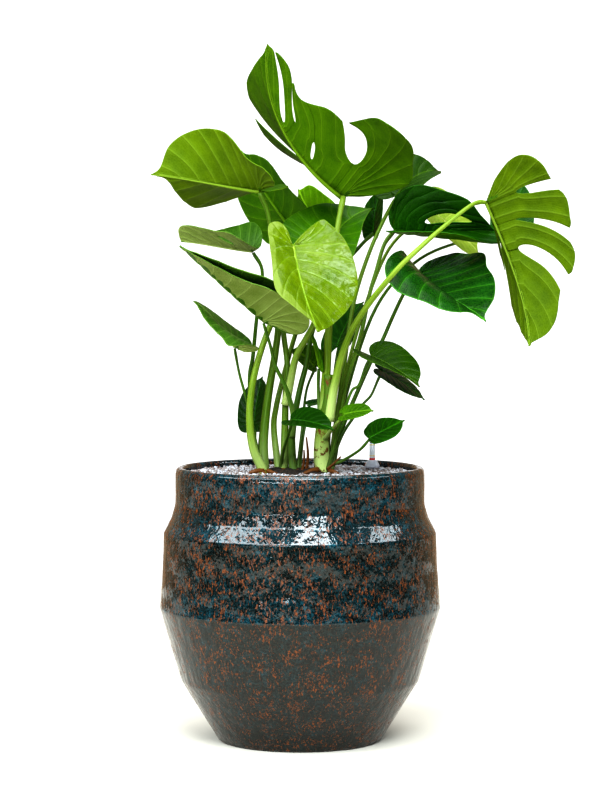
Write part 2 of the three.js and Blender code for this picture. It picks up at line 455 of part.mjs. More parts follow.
// A round tapering stalk along a smooth path, closed at both ends
function stalkGeometry(points, [bottomRadius, topRadius], sides = STALK_SIDES) {
  const path = new THREE.CatmullRomCurve3(points.map((point) => new THREE.Vector3(...point)));
  const steps = Math.max(3, Math.round(path.getLength() / STALK_STEP));
  const { normals, binormals } = path.computeFrenetFrames(steps, false);
  const positions = [];
  const index = [];
  for (let k = 0; k <= steps; k += 1) {
    const centre = path.getPointAt(k / steps);
    const radius = THREE.MathUtils.lerp(bottomRadius, topRadius, k / steps);
    for (let s = 0; s < sides; s += 1) {
      const angle = 2 * Math.PI * s / sides;
      positions.push(...centre.clone().addScaledVector(normals[k], radius * Math.cos(angle))
        .addScaledVector(binormals[k], radius * Math.sin(angle)).toArray());
    }
  }
  for (let k = 0; k < steps; k += 1) {
    for (let s = 0; s < sides; s += 1) {
      const next = (s + 1) % sides;
      const [a, b] = [k * sides + s, k * sides + next];
      index.push(a, b, b + sides, a, b + sides, a + sides);
    }
  }
  for (let s = 1; s + 1 < sides; s += 1) {
    index.push(0, s + 1, s);
    index.push(steps * sides, steps * sides + s, steps * sides + s + 1);
  }
  const geometry = new THREE.BufferGeometry();
  geometry.setAttribute('position', new THREE.Float32BufferAttribute(positions, 3));
  geometry.setIndex(index);
  return geometry;
}

function cylinderGeometry([x, y], bottom, top, radius, sides, topRadius = radius) {
  const geometry = new THREE.CylinderGeometry(topRadius, radius, top - bottom, sides);
  geometry.rotateX(Math.PI / 2);
  geometry.translate(x, y, (top + bottom) / 2);
  return geometry;
}

function latheGeometry(profile, sides) {
  const geometry = new THREE.LatheGeometry(profile.map(([r, z]) => new THREE.Vector2(r, z)), sides);
  geometry.rotateX(Math.PI / 2);
  return geometry;
}

// From a three.js geometry to a solid and back
function solid(geometry) {
  const bare = geometry.clone();
  bare.deleteAttribute('normal');
  bare.deleteAttribute('uv');
  const merged = mergeVertices(bare, 1e-4);
  const index = [];
  for (let k = 0; k < merged.index.count; k += 3) {
    const triangle = [0, 1, 2].map((corner) => merged.index.getX(k + corner));
    if (new Set(triangle).size === 3) index.push(...triangle);
  }
  return new wasm.Manifold(new wasm.Mesh({
    numProp: 3,
    vertProperties: Float32Array.from(merged.attributes.position.array),
    triVerts: Uint32Array.from(index),
  }));
}

function fromSolid(shape) {
  const { numProp, vertProperties, triVerts } = shape.getMesh();
  const positions = new Float32Array(vertProperties.length / numProp * 3);
  for (let k = 0; k * numProp < vertProperties.length; k += 1) {
    positions.set(vertProperties.subarray(k * numProp, k * numProp + 3), k * 3);
  }
  const geometry = new THREE.BufferGeometry();
  geometry.setAttribute('position', new THREE.Float32BufferAttribute(positions, 3));
  geometry.setIndex(Array.from(triVerts));
  return geometry;
}

const largestPiece = (shape) => shape.decompose().sort((a, b) => b.volume() - a.volume())[0];

const plant = new THREE.Group();

function add(name, geometry, { colour, roughness = 0.6 }) {
  const material = new THREE.MeshStandardMaterial({ color: colour, roughness });
  const mesh = new THREE.Mesh(geometry, material);
  mesh.name = name;
  plant.add(mesh);
}

function buildPot() {
  const profile = [[0, 0], ...POT_OUTSIDE, ...POT_INSIDE, [92, POT_FLOOR], [0, POT_FLOOR]];
  add('pot', latheGeometry(profile, POT_SIDES), { colour: 0x23403e, roughness: 0.2 });
}

// What stands in the pot's filling, and the plain hole that each of them takes
const holes = () => [
  ...SHOOTS.map((shoot) => cylinderGeometry(
    shoot.at, PUMICE_TOP - ROOT_DEPTH - GAP, RIM_HEIGHT + 20, shoot.radius + GAP, 12)),
  cylinderGeometry(GAUGE.at, PUMICE_TOP - GAUGE.depth - GAP, RIM_HEIGHT + 20, GAUGE.tubeRadius + GAP, 12),
].map(solid);

function buildSoil() {
  const top = PUMICE_TOP - PUMICE_DEPTH - GAP;
  const floor = POT_FLOOR + SOIL_CLEARANCE;
  const inside = POT_INSIDE.slice(2).map(([r, z]) => [r - SOIL_CLEARANCE, Math.max(z, floor)]).reverse();
  const profile = [[0, floor], ...inside, [FILL_RADIUS, top], [0, top]];
  const soil = holes().reduce((rest, hole) => rest.subtract(hole), solid(latheGeometry(profile, POT_SIDES)));
  add('soil', fromSolid(soil), { colour: 0x2c1e16, roughness: 1 });
}

// The layer of pumice: rings of a height that rises and falls from grain to grain
function buildPumice() {
  const [rings, sides] = [8, 48];
  const bottom = PUMICE_TOP - PUMICE_DEPTH;
  const ringPoints = Array.from({ length: rings }, (_, k) => [FILL_RADIUS * (1 - k / rings), PUMICE_TOP]);
  const geometry = latheGeometry(
    [[0, bottom], [FILL_RADIUS, bottom], ...ringPoints, [0, PUMICE_TOP]], sides);
  const position = geometry.attributes.position;
  for (let k = 0; k < position.count; k += 1) {
    const [x, y, z] = [position.getX(k), position.getY(k), position.getZ(k)];
    if (z < PUMICE_TOP - 1) continue;
    const wave = Math.sin(x * 0.61 + 2 * Math.sin(y * 0.23)) * Math.cos(y * 0.57 + x * 0.19);
    position.setZ(k, z + PUMICE_ROUGHNESS * wave);
  }
  let layer = solid(geometry);
  for (const hole of holes()) layer = layer.subtract(hole);
  add('pumice', fromSolid(layer), { colour: 0xd8cfc8, roughness: 0.9 });
}

function buildGauge() {
  const { at, top, tubeRadius, collarRadius, collarHeight, depth } = GAUGE;
  const tube = cylinderGeometry(at, PUMICE_TOP - depth, top, tubeRadius, 12);
  add('gauge_tube', tube, { colour: 0xe8ecec, roughness: 0.1 });
  const foot = PUMICE_TOP + 2;
  const collar = latheGeometry([[tubeRadius + GAP, foot], [collarRadius, foot], [collarRadius, foot + 2],
    [collarRadius * 0.8, foot + collarHeight * 0.7], [tubeRadius + 1.5, foot + collarHeight],
    [tubeRadius + GAP, foot + collarHeight], [tubeRadius + GAP, foot]], 16);
  collar.translate(at[0], at[1], 0);
  add('gauge_collar', collar, { colour: 0x8a8a90, roughness: 0.3 });
}

// A stalk from its rootstock up to the underside of its blade, cut back to leave a gap at the blade
function buildStalk(leaf, root) {
  const [along, up] = [1, 2].map((k) => new THREE.Vector3().setFromMatrixColumn(bladeFrame(leaf), k));
  const end = new THREE.Vector3(...leaf.at)
    .addScaledVector(up, -0.7 * leaf.stalk.radii[1])
    .addScaledVector(along, -STALK_SETBACK);
  const points = [...leaf.stalk.points, end.toArray()];
  if (points[0][2] < PUMICE_TOP + CROWN_HEIGHT + 5) points.unshift(root);
  const uncut = bladeSurface({ ...leaf, cuts: [] });
  const room = solid(thicken(uncut, BLADE_THICKNESS + 2 * GAP))
    .add(solid(thicken(uncut, BLADE_THICKNESS + 4 * GAP, 3 * GAP)));
  return largestPiece(solid(stalkGeometry(points, leaf.stalk.radii)).subtract(room));
}

function buildShoot(shoot) {
  const [x, y] = shoot.at;
  const [shoulder, crown] = [PUMICE_TOP + SHOULDER_HEIGHT, PUMICE_TOP + CROWN_HEIGHT];
  let body = solid(cylinderGeometry(shoot.at, PUMICE_TOP - ROOT_DEPTH, shoulder, shoot.radius, 12));
  body = body.add(solid(
    cylinderGeometry(shoot.at, shoulder, crown, shoot.radius, 12, shoot.radius * 0.6)));
  if (shoot.stem) {
    body = body.add(solid(stalkGeometry([[x, y, PUMICE_TOP], ...shoot.stem.points], shoot.stem.radii, 10)));
  }
  for (const leaf of LEAVES.filter((one) => one.shoot === shoot.name)) {
    body = body.add(buildStalk(leaf, [x, y, PUMICE_TOP - 5]));
  }
  add(shoot.name, fromSolid(body), { colour: shoot.colour });
}

function buildBlade(leaf) {
  const blade = thicken(bladeSurface(leaf), BLADE_THICKNESS);
  add(`leaf_${leaf.name}`, blade, { colour: leaf.colour, roughness: 0.45 });
}

buildPot();
buildSoil();
buildPumice();
buildGauge();
SHOOTS.forEach(buildShoot);
LEAVES.forEach(buildBlade);

export default plant;
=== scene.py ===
import math
import random
from functools import partial

import bmesh
import bpy
import numpy as np
from mathutils import Matrix, Vector, noise


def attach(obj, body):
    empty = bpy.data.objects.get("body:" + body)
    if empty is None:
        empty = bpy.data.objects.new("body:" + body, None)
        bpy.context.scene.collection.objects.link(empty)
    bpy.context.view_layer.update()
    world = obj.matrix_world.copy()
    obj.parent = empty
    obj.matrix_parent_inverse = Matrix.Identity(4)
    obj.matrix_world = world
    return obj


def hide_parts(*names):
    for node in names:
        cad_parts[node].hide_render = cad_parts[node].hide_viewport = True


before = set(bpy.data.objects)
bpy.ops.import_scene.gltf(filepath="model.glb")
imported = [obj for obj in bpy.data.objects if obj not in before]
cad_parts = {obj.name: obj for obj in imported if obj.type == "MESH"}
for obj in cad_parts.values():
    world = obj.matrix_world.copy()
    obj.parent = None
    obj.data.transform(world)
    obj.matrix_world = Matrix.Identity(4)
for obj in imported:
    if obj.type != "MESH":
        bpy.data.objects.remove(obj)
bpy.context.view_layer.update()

MM = 0.001
SEED = 11

# The camera of the photograph, in metres and degrees.
CAMERA_PLACE = (0, -3.25, 0.585)
CAMERA_PITCH = 2.8
CAMERA_LENS = 117
SENSOR_WIDTH = 36

# Shapes from here on: lengths are in millimetres and angles in degrees.
# The pot has the same profile as the CAD, in radius and height.
POT_FOOT = [(0, 0), (100, 0), (104, 2), (107, 7)]
POT_RIDGES = [(150, 76), (176, 166), (172.5, 215), (171, 261), (161, 280), (156.5, 296)]
POT_LIP = [(156.5, 334), (155.5, 339), (153, 342), (150, 342.5), (147.5, 341.5), (146, 338.5)]
POT_INSIDE = [(146, 300), (160, 262), (164, 166), (138, 76), (98, 14), (0, 12)]
POT_SEGMENTS = 192
FILL_SEGMENTS = 96
PROFILE_STEP = 4
RIDGE_ROUNDING = 1.6
NECK_HEIGHT = 300
# The wall lies this far inside the CAD's on average, so that its waves don't stand out past it.
WALL_INSET = 0.3

SOIL_OUTSIDE = [(0, 13), (97, 15), (137, 76), (163, 166), (159, 262), (145, 300), (145, 322)]
SOIL_TOP = 322.5
SOIL_MOUND = 18
SOIL_ROUNDING = 3
PUMICE_TOP = 335
PUMICE_BOTTOM = 323
FILL_RADIUS = 145.4
PUMICE_BED = [(0, PUMICE_BOTTOM), (FILL_RADIUS - 0.6, PUMICE_BOTTOM), (FILL_RADIUS - 0.6, PUMICE_TOP - 3.5),
              (60, PUMICE_TOP - 3.5), (0, PUMICE_BOTTOM + 1)]
GRAIN_KINDS = 12
GRAIN_SPACING = 4.3
ROW_SPACING = GRAIN_SPACING * 0.87
GRAIN_JITTER = (-1, 1)
GRAIN_RADIUS = (2.0, 3.1)
GRAIN_LIFT = (-1.3, 1.6)
GRAIN_SQUASH = (0.6, 0.95)
GRAIN_BUMPS = (0.72, 1.15)
ROOT_DEPTH = 55
CROWN_HEIGHT = 20

GAUGE_AT = (92, 55)
GAUGE_ROOM = 9
GAUGE_TUBE = [(276, 3.6), (300, 3.6), (330, 3.6), (360, 3.6), (378, 3.6), (380.2, 3.2), (381, 2.0)]
GAUGE_FLOAT = [(346, 3.0), (346.5, 3.7), (349.5, 3.7), (350, 3.0)]
GAUGE_MARKS = [[(352, 3.75), (352.8, 3.75)], [(366, 3.75), (366.8, 3.75)]]
GAUGE_DOME = [(3.9, 337), (9.5, 337), (9.5, 339), (9.2, 340.5), (8, 343), (6.6, 345.4), (5.1, 347),
              (3.9, 347), (3.9, 337)]
DOME_SEGMENTS = 32

# Half of a leaf from its stalk to its tip, as shares of its width and length.
OUTLINE = np.array([(0, 0), (0.2, -0.13), (0.46, -0.18), (0.74, -0.13), (0.94, 0.03), (1, 0.24),
                    (0.93, 0.46), (0.74, 0.67), (0.42, 0.84), (0.11, 0.93), (0, 1)])
# Up to here on the margin, the side veins fan out from the stalk. Past it they leave the midrib.
FAN_END = 0.4
MARGIN_SAMPLES = 200
BEND_STEPS = 24
BLADE_THICKNESS = 1.0
COLUMN_STEP = 2.6
# Rows of faces from midrib to margin, and how close rows lie to the ends of a slot, as shares of its length.
BLADE_ROWS = [*np.linspace(0, 0.94, 20), 0.965, 0.985, 1]
ROWS_AT_CUT = np.array([0, 0.01, 0.04, 0.09, 0.17, 0.27, 0.38])
LEAST_ROW = 0.004
# A slot's end is rounded over this share of its length.
CUT_ROUNDING = 0.35
# Corners of the fingers between slots: how far along the finger's end they are rounded, and how deep.
BASE_CORNER = (0.4, 0.06)
TIP_CORNER = (0.16, 0.035)
# Side veins: how far apart as a share of the blade's length, how deep and wide their grooves are, and how far
# from the vein the columns of faces beside it run.
VEIN_SPACING = 0.15
VEIN_DEPTH = 0.3
VEIN_WIDTH = 0.8
VEIN_EDGE = 0.9
RUFFLE = 0.011
WELD = 0.02

STALK_SIDES = 14
STEM_SIDES = 20
ROOT_SIDES = 9
RIB_SIDES = 10
GAUGE_SIDES = 24
# How much a stalk swells at its base and at the bend below its blade, and how far that reaches along it.
BASE_SWELLING, BASE_REACH = 0.5, 55
BEND_SWELLING, BEND_PLACE, BEND_REACH = 0.22, 9, 7
# How dark a stem gets towards its top, and from which run along it over which length.
STEM_TONE, STEM_TONE_START, STEM_TONE_LENGTH = 0.7, 28, 60

SHOOTS = {
    "left_shoot": dict(at=(-47, -8), radius=13),
    "middle_shoot": dict(at=(-25, 8), radius=10),
    "centre_shoot": dict(at=(-3, -4), radius=9),
    "main_shoot": dict(at=(29, 2), radius=12, stem=[(27, 2, 362), (29, 1, 392), (34, 0, 424), (36, 0, 458)],
                       radii=(11, 7)),
}
# Height over the pumice and share of its radius, for each ring of a rootstock.
ROOTSTOCK = [(-ROOT_DEPTH, 0.8), (-20, 1), (-4, 0.95), (1, 0.8), (5, 0.45)]
# Roots and dry sheaths at the foot of each shoot: points along them and the first and last radius.
ROOTS = {
    "left_shoot": [(((-46, -12, 338), (-55, -17, 338), (-63, -19, 336)), 4.0, 2.0),
                   (((-40, -14, 338), (-35, -20, 337), (-28, -24, 335)), 3.2, 1.6)],
    "middle_shoot": [(((-22, 2, 338), (-17, -8, 338), (-14, -16, 335)), 3.0, 1.5)],
    "centre_shoot": [(((7, -6, 334), (10, -8, 356), (8, -7, 380)), 2.6, 1.0),
                     (((2, -8, 334), (5, -9, 350), (5, -9, 364)), 2.2, 0.9)],
    "main_shoot": [(((22, -8, 339), (13, -15, 338), (5, -19, 335)), 4.2, 2.0),
                   (((34, -9, 340), (42, -12, 347), (51, -13, 356)), 1.9, 1.0),
                   (((37, -8, 338), (43, -15, 337), (48, -19, 335)), 3.4, 1.6)],
}


def leaf(name, shoot, look, lobe=(1, 1), reach=(None, None), sweep=0, twist=0, unfold=(0, 0), cuts=(),
         shade=1.0, quilting=0.03, tone=0.85, **shape):
    """One leaf: at is the end of its stalk, and of each pair the left half comes first.

    lobe is how far the lobes hang behind the stalk, and reach how far out the margin lies at even places from
    notch to tip, with 1 for OUTLINE itself. Each cut is a slot or hole: its side, its place on the margin,
    where it starts and ends between midrib and margin, its half width inside and at the margin, how far it
    leans, and how deep the corner before it is rounded. shade scales the blade's colours beside others of
    its look: partly the leaf's own tone, and partly painted light and shade for how brightly the blade is
    lit.
    quilting is how high it stands up between its veins, and tone how dark its stalk is."""
    return dict(name=name, shoot=shoot, look=look, lobe=lobe, reach=reach, sweep=sweep, twist=twist,
                unfold=unfold, cuts=cuts, shade=shade, quilting=quilting, tone=tone, **shape)


LEAVES = [
    leaf("top", "main_shoot", "mature", at=(53, 20, 680), turn=190, rise=36, roll=120, length=226,
         width=(0.74, 0.38), lobe=(1.2, 0.2),
         reach=((0.61, 0.57, 0.99, 0.96, 1.19, 0.96, 0.61, 0.58, 0.52, 1.12, 1.17),
         (0.94, 0.97, 1.01, 1.09, 1.2, 1.3, 1.28, 1.19, 0.97, 0.97, 0.96)), droop=(16, 38), sweep=-38,
         twist=19, belly=0, fold=(-64, 141), unfold=(24, -66), curl=(-52, -5),
         cuts=[(-1, 0.49, 0.27, 1, 0.055, 0.012, 0.165, 0.06), (-1, 0.65, 0.1, 0.32, 0.008, 0, 0.12),
         (-1, 0.765, 0.4, 1, 0.008, 0.004, 0.12, 0.08), (-1, 0.8, 0.1, 1, 0.03, 0.003, 0.15),
         (1, 0.62, 0.4, 1, 0.02, 0.03, 0.05)], shade=0.8, stalk=[(30, 1, 380), (31, 0, 430), (34, 2, 475),
         (36, 2, 516), (42, 4, 590), (47, 8, 641)], radii=(5.5, 3.2), tone=0.3),
    leaf("left", "left_shoot", "young", at=(-50, 10, 687), turn=159, rise=8, roll=37, length=143,
         width=(0.59, 0.5), lobe=(1.1, 1.1),
         reach=((1.28, 1.19, 1.02, 0.83, 0.71, 0.86, 0.89, 0.94, 1.05, 0.99, 0.97),
         (1.04, 0.98, 0.9, 0.83, 0.81, 0.9, 1.11, 0.94, 0.77, 0.63, 0.57)), droop=(1, 14), sweep=-17,
         twist=-39, belly=0.11, fold=(2, 42), unfold=(25, -25), curl=(5, 9), shade=0.84, quilting=0.06,
         stalk=[(-46, 0, 342), (-46, 6, 376), (-40, 12, 430), (-31, 14, 485), (-27, 14, 530), (-32, 17, 600),
         (-39, 14, 655)], radii=(5.5, 2.8), tone=0.68),
    leaf("left_back", "middle_shoot", "shaded", at=(-13, 131, 645), turn=184, rise=52, roll=46, length=117,
         width=(0.4, 0.45), lobe=(0.4, 0.4),
         reach=((0.99, 1.03, 1.08, 1.12, 1.13, 0.99, 0.94, 1.05, 1.05, 1.03, 1.02), None), droop=(-9, -3),
         sweep=-4, twist=3, belly=0.07, fold=(2, 9), curl=(-24, -18), shade=0.92, stalk=[(-20, 6, 345),
         (-19, 8, 390), (-18, 8, 430), (-16, 12, 471), (-21, 30, 515), (-20, 74, 580), (-17, 110, 624)],
         radii=(4.2, 2.6), tone=0.65),
    leaf("left_low", "left_shoot", "greyish", at=(-59, 0, 612), turn=160, rise=5, roll=-21, length=103,
         width=(0.48, 0.41), lobe=(0.8, 0.8),
         reach=((0.85, 0.85, 0.85, 0.78, 0.91, 1.01, 0.91, 0.99, 1.26, 1.36, 1.24),
         (0.92, 0.76, 0.65, 0.74, 0.91, 1.02, 0.95, 0.97, 1.08, 1.22, 1.34)), droop=(-13, 20), sweep=13,
         twist=-9, belly=-0.11, fold=(40, 48), unfold=(20, -35), curl=(0, -11),
         cuts=[(-1, 0.6, 0.3, 0.72, 0.03, 0, 0.1)], shade=0.92, stalk=[(-52, 0, 345), (-60, 4, 380),
         (-63, 6, 451), (-59, 6, 480), (-54, 4, 530), (-47, 2, 585)], radii=(3, 2)),
    leaf("grey", "centre_shoot", "greyish", at=(-45, -40, 524), turn=199, rise=39, roll=42, length=180,
         width=(0.54, 0.4), lobe=(1.3, 1.3),
         reach=((1, 1, 0.9, 0.9, 0.81, 0.79, 0.82, 0.65, 0.73, 1.01, 1.26),
         (1, 1, 1, 1.01, 1.02, 1.03, 0.99, 0.85, 0.93, 1.05, 1.07)), droop=(37, -1), sweep=-35, twist=11,
         belly=-0.05, fold=(-17, 187), unfold=(-1, -2), curl=(-6, 3), quilting=0.045, stalk=[(-10, -4, 380),
         (-8, -11, 404), (-14, -20, 432), (-22, -24, 452), (-31, -26, 471), (-37, -34, 496)], radii=(3, 1.5)),
    leaf("left_small", "left_shoot", "greyish", at=(-81, 0, 492), turn=190, rise=53, roll=29, length=86,
         width=(0.58, 0.5), reach=((0.97, 1.03, 1.1, 1.19, 1.33, 1.36, 1.05, 0.9, 0.92, 0.96, 1),
         (0.99, 1.01, 1.04, 1.08, 1.07, 1.02, 0.97, 0.95, 0.96, 0.98, 1)), droop=(13, 22), sweep=-25, twist=8,
         belly=-0.04, fold=(5, 67), unfold=(-52, -52), curl=(-41, -13), shade=1.05, stalk=[(-50, -2, 345),
         (-58, 0, 385), (-68, -2, 430), (-76, -2, 460)], radii=(2, 1.5)),
    leaf("new", "middle_shoot", "new", at=(-8, -60, 618), turn=-81, rise=-52, roll=-11, length=136,
         width=(0.58, 0.29), lobe=(1.1, 1.1),
         reach=((0.64, 0.78, 1.01, 0.85, 0.85, 0.9, 0.96, 0.95, 0.99, 1.15, 1.29),
         (1.01, 1.05, 1.12, 1.13, 0.96, 0.91, 1.09, 0.97, 0.85, 0.73, 0.71)), droop=(-10, 6), sweep=-13,
         twist=17, belly=0.08, fold=(23, 23), unfold=(-36, -16), curl=(17, -24), shade=0.84, quilting=0.012,
         stalk=[(-18, 4, 420), (-13, 0, 444), (-5, -4, 480), (7, -6, 502), (19, -12, 527), (22, -24, 562),
         (10, -44, 597)], radii=(4, 3), tone=0.4),
    leaf("middle", "left_shoot", "mature", at=(28, 52, 614), turn=22, rise=53, roll=28, length=108,
         width=(0.58, 0.45), reach=((0.99, 1.01, 1.03, 1.06, 1.07, 1.02, 1.01, 1.02, 0.86, 0.88, 0.93),
         (0.99, 1.02, 1.06, 1.1, 1.12, 1.05, 0.98, 0.83, 0.83, 0.89, 0.97)), droop=(43, 11), sweep=-10,
         twist=14, belly=-0.17, fold=(22, 14), curl=(2, -23), shade=1.25, stalk=[(-47, -8, 340),
         (-57, -14, 362), (-62, -16, 390), (-62, -14, 424), (-55, -10, 466), (-38, -2, 517), (-10, 24, 573)],
         radii=(4.5, 3.2), tone=0.3),
    leaf("back_top", "middle_shoot", "mature", at=(36, 125, 630), turn=140, rise=46, roll=83, length=89,
         width=(0.45, 0.45), reach=((0.99, 1.01, 1.02, 1.05, 1.06, 1.05, 0.97, 0.98, 1.12, 1.12, 1.1), None),
         droop=(-13, -4), twist=-1, belly=0.03, fold=(8, 2), curl=(-16, -17), shade=2.3,
         stalk=[(-28, 12, 345), (-33, 22, 390), (-30, 26, 416), (-23, 34, 446), (-8, 54, 500), (12, 88, 560),
         (28, 114, 607)], radii=(3.5, 2.4), tone=0.55),
    leaf("right_top", "main_shoot", "mature", at=(123, 70, 683), turn=34, rise=50, roll=16, length=83,
         width=(0.48, 0.42), droop=(42, 15), sweep=7, twist=-7, belly=0.09, fold=(35, 19), curl=(-5, -10),
         shade=0.55, stalk=[(38, 10, 345), (46, 22, 400), (56, 32, 470), (68, 46, 547), (87, 56, 608),
         (108, 66, 655)], radii=(3, 2.4), tone=0.6),
    leaf("right_back", "centre_shoot", "shaded", at=(95, 110, 638), turn=54, rise=86, roll=-24, length=56,
         width=(0.44, 0.42), droop=(15, 6), sweep=1, twist=-3, belly=0.06, fold=(16, 16), curl=(-14, -11),
         stalk=[(-9, -2, 345), (-10, -2, 390), (-5, 0, 416), (1, 4, 444), (8, 10, 471), (18, 22, 520),
         (45, 60, 580), (78, 96, 620)], radii=(4, 2.2)),
    leaf("right_dark", "main_shoot", "shaded", at=(119, 36, 639), turn=0, rise=-3, roll=20, length=133,
         width=(0.45, 0.55), lobe=(0.5, 0.5),
         reach=((0.7, 0.7, 0.7, 0.66, 0.86, 1.02, 1.03, 1.07, 0.95, 1.04, 1.09),
         (1, 0.98, 0.96, 0.94, 0.95, 1.05, 1.31, 1.3, 1.31, 1.3, 1.27)), droop=(-2, 6), sweep=-19, twist=-8,
         belly=-0.06, fold=(84, 5), unfold=(24, -8), curl=(0, 31),
         cuts=[(-1, 0.66, 0.18, 0.74, 0.045, 0, 0.25)], quilting=0.045, stalk=[(41, 6, 357), (49, 10, 396),
         (59, 14, 450), (76, 18, 505), (87, 26, 556), (96, 30, 587), (106, 34, 620)], radii=(3, 2.4),
         tone=0.7),
    leaf("right_light", "main_shoot", "pale", at=(168, 75, 663), turn=27, rise=-31, roll=48, length=93,
         width=(0.47, 0.44), droop=(12, 3), sweep=-1, twist=-5, belly=0.04, fold=(22, 15), curl=(-10, -12),
         stalk=[(40, 12, 345), (50, 28, 420), (75, 40, 520), (110, 60, 610), (147, 74, 649)], radii=(2.5, 2),
         tone=0.5),
    leaf("heart", "main_shoot", "bluish", at=(147, 26, 583), turn=-50, rise=-30, roll=-26, length=134,
         width=(0.59, 0.68), lobe=(0.7, 0.7),
         reach=((0.96, 1.04, 1.09, 1.19, 1.04, 1.08, 0.94, 0.96, 0.99, 0.93, 0.88),
         (0.8, 0.8, 0.8, 0.63, 0.73, 1.13, 1.26, 1.18, 1.25, 0.83, 0.63)), droop=(-25, 23), sweep=1,
         twist=-13, belly=-0.01, fold=(39, 24), unfold=(13, -19), curl=(22, -44), shade=0.8, quilting=0.05,
         stalk=[(38, 0, 351), (53, 0, 392), (70, 0, 432), (90, -2, 477), (103, -2, 501), (116, 6, 530),
         (131, 20, 560)], radii=(2.8, 2.2)),
    leaf("right", "main_shoot", "young", at=(228, -60, 671), turn=-9, rise=-66, roll=-65, length=195,
         width=(0.41, 0.68), lobe=(0.1, 0.9),
         reach=((1.04, 0.97, 0.9, 0.83, 0.81, 0.93, 1.02, 1.01, 0.85, 0.98, 1.06),
         (0.71, 0.91, 1.08, 0.95, 0.78, 0.77, 0.75, 0.79, 0.8, 1.14, 1)), droop=(15, 30), sweep=4, twist=18,
         belly=-0.09, fold=(58, -2), unfold=(-13, 12), curl=(12, -5),
         cuts=[(1, 0.43, 0.42, 1, 0.03, 0.03, 0.04), (1, 0.575, 0.26, 1, 0.007, 0.02, 0.09),
         (1, 0.69, 0.17, 1, 0.025, 0.02, 0.08), (-1, 0.6, 0.4, 1, 0.01, 0.03, 0.05)], shade=0.72,
         quilting=0.07, stalk=[(36, -4, 400), (43, -8, 444), (56, -24, 494), (76, -54, 535), (115, -94, 586),
         (147, -92, 617), (177, -82, 643), (205, -77, 665), (218, -67, 671)], radii=(4.7, 2.3), tone=0.18),
    leaf("right_small", "main_shoot", "mature", at=(88, -30, 482), turn=-39, rise=-19, roll=26, length=81,
         width=(0.45, 0.43), lobe=(0.9, 0.9),
         reach=((0.98, 0.96, 0.96, 1.01, 1, 0.95, 0.92, 0.96, 1, 0.99, 0.99),
         (0.98, 1, 1.03, 1.06, 1.1, 1.11, 1.05, 1, 0.93, 0.91, 0.92)), droop=(12, 6), sweep=2, twist=3,
         belly=0.01, fold=(15, 44), curl=(-13, -19), shade=0.58, stalk=[(36, -8, 345), (48, -18, 390),
         (63, -24, 436), (73, -28, 446), (81, -29, 468)], radii=(2, 1.5)),
    leaf("right_narrow", "main_shoot", "shaded", at=(103, 0, 462), turn=2, rise=-27, roll=37, length=65,
         width=(0.42, 0.5), droop=(14, 5), twist=-2, belly=0.01, fold=(-12, 29), curl=(-21, -17), shade=0.6,
         stalk=[(39, -2, 350), (53, -4, 383), (66, -2, 403), (79, 0, 421), (89, 0, 432), (97, 0, 450)],
         radii=(2, 1.4)),
    leaf("stub", "main_shoot", "mature", at=(54, -45, 410), turn=-18, rise=15, roll=33, length=38,
         width=(0.44, 0.43), lobe=(0.9, 0.9), droop=(13, 4), twist=-2, belly=0.03, fold=(13, 13),
         curl=(-14, -12), shade=1.1, stalk=[(31, -6, 378), (42, -30, 394)], radii=(2, 1.5), tone=0.5),
    leaf("gauge_side", "main_shoot", "shaded", at=(86, -30, 380), turn=9, rise=26, roll=31, length=50,
         width=(0.5, 0.5), lobe=(0.3, 0.3),
         reach=((1.03, 0.95, 0.85, 0.75, 0.7, 0.9, 1, 0.95, 0.94, 0.96, 0.98),
         (1.01, 0.92, 0.83, 0.75, 0.75, 0.89, 1.01, 1.01, 1, 0.99, 0.99)), droop=(2, 1), sweep=-5, twist=-1,
         belly=0.02, fold=(13, 13), curl=(-14, -13), stalk=[(36, -4, 343), (53, -16, 351), (74, -25, 365)],
         radii=(1.8, 1.3)),
    leaf("centre_small", "middle_shoot", "shaded", at=(-9, -60, 404), turn=-30, rise=0, roll=25, length=57,
         width=(0.45, 0.42), lobe=(0.8, 0.8),
         reach=((0.95, 0.9, 0.85, 0.87, 0.98, 1.03, 1.03, 0.95, 0.93, 0.95, 0.98), None), droop=(20, 6),
         belly=-0.02, fold=(17, 19), curl=(-10, -8), shade=0.65, stalk=[(-24, 2, 345), (-21, -14, 362),
         (-16, -36, 380)], radii=(1.8, 1.4)),
    leaf("low_left", "left_shoot", "shaded", at=(-58, 46, 393), turn=62, rise=78, roll=-15, length=63,
         width=(0.44, 0.41), reach=((1, 1, 0.99, 0.99, 1, 1.01, 1.05, 1.05, 1.06, 1.1, 1.09),
         (1.01, 0.98, 0.94, 0.9, 0.89, 0.95, 0.97, 0.98, 1.01, 1.01, 1.02)), droop=(9, 4), sweep=-1, twist=-1,
         belly=0.02, fold=(15, 20), curl=(-13, -10), shade=0.45, stalk=[(-50, 0, 343), (-56, 24, 364)],
         radii=(1.8, 1.4)),
    leaf("low_back", "centre_shoot", "shaded", at=(20, 45, 467), turn=197, rise=46, roll=37, length=41,
         width=(0.48, 0.42), reach=((0.99, 0.99, 0.98, 0.99, 1.01, 1.08, 1.09, 1.07, 1.04, 1.02, 1), None),
         droop=(26, 9), sweep=1, twist=-2, belly=0.03, fold=(21, 16), curl=(-9, -12), stalk=[(-2, 0, 345),
         (3, 16, 390), (8, 28, 436)], radii=(1.8, 1.4)),
    leaf("dark_back", "main_shoot", "shaded", at=(48, 64, 492), turn=51, rise=62, roll=-17, length=73,
         width=(0.43, 0.44), droop=(19, 8), sweep=4, twist=-5, belly=0.05, fold=(19, 10), curl=(-16, -17),
         stalk=[(34, 8, 345), (38, 28, 400), (44, 52, 460)], radii=(2, 1.5)),
    leaf("far_right", "main_shoot", "shaded", at=(267, 88, 632), turn=80, rise=75, roll=0, length=86,
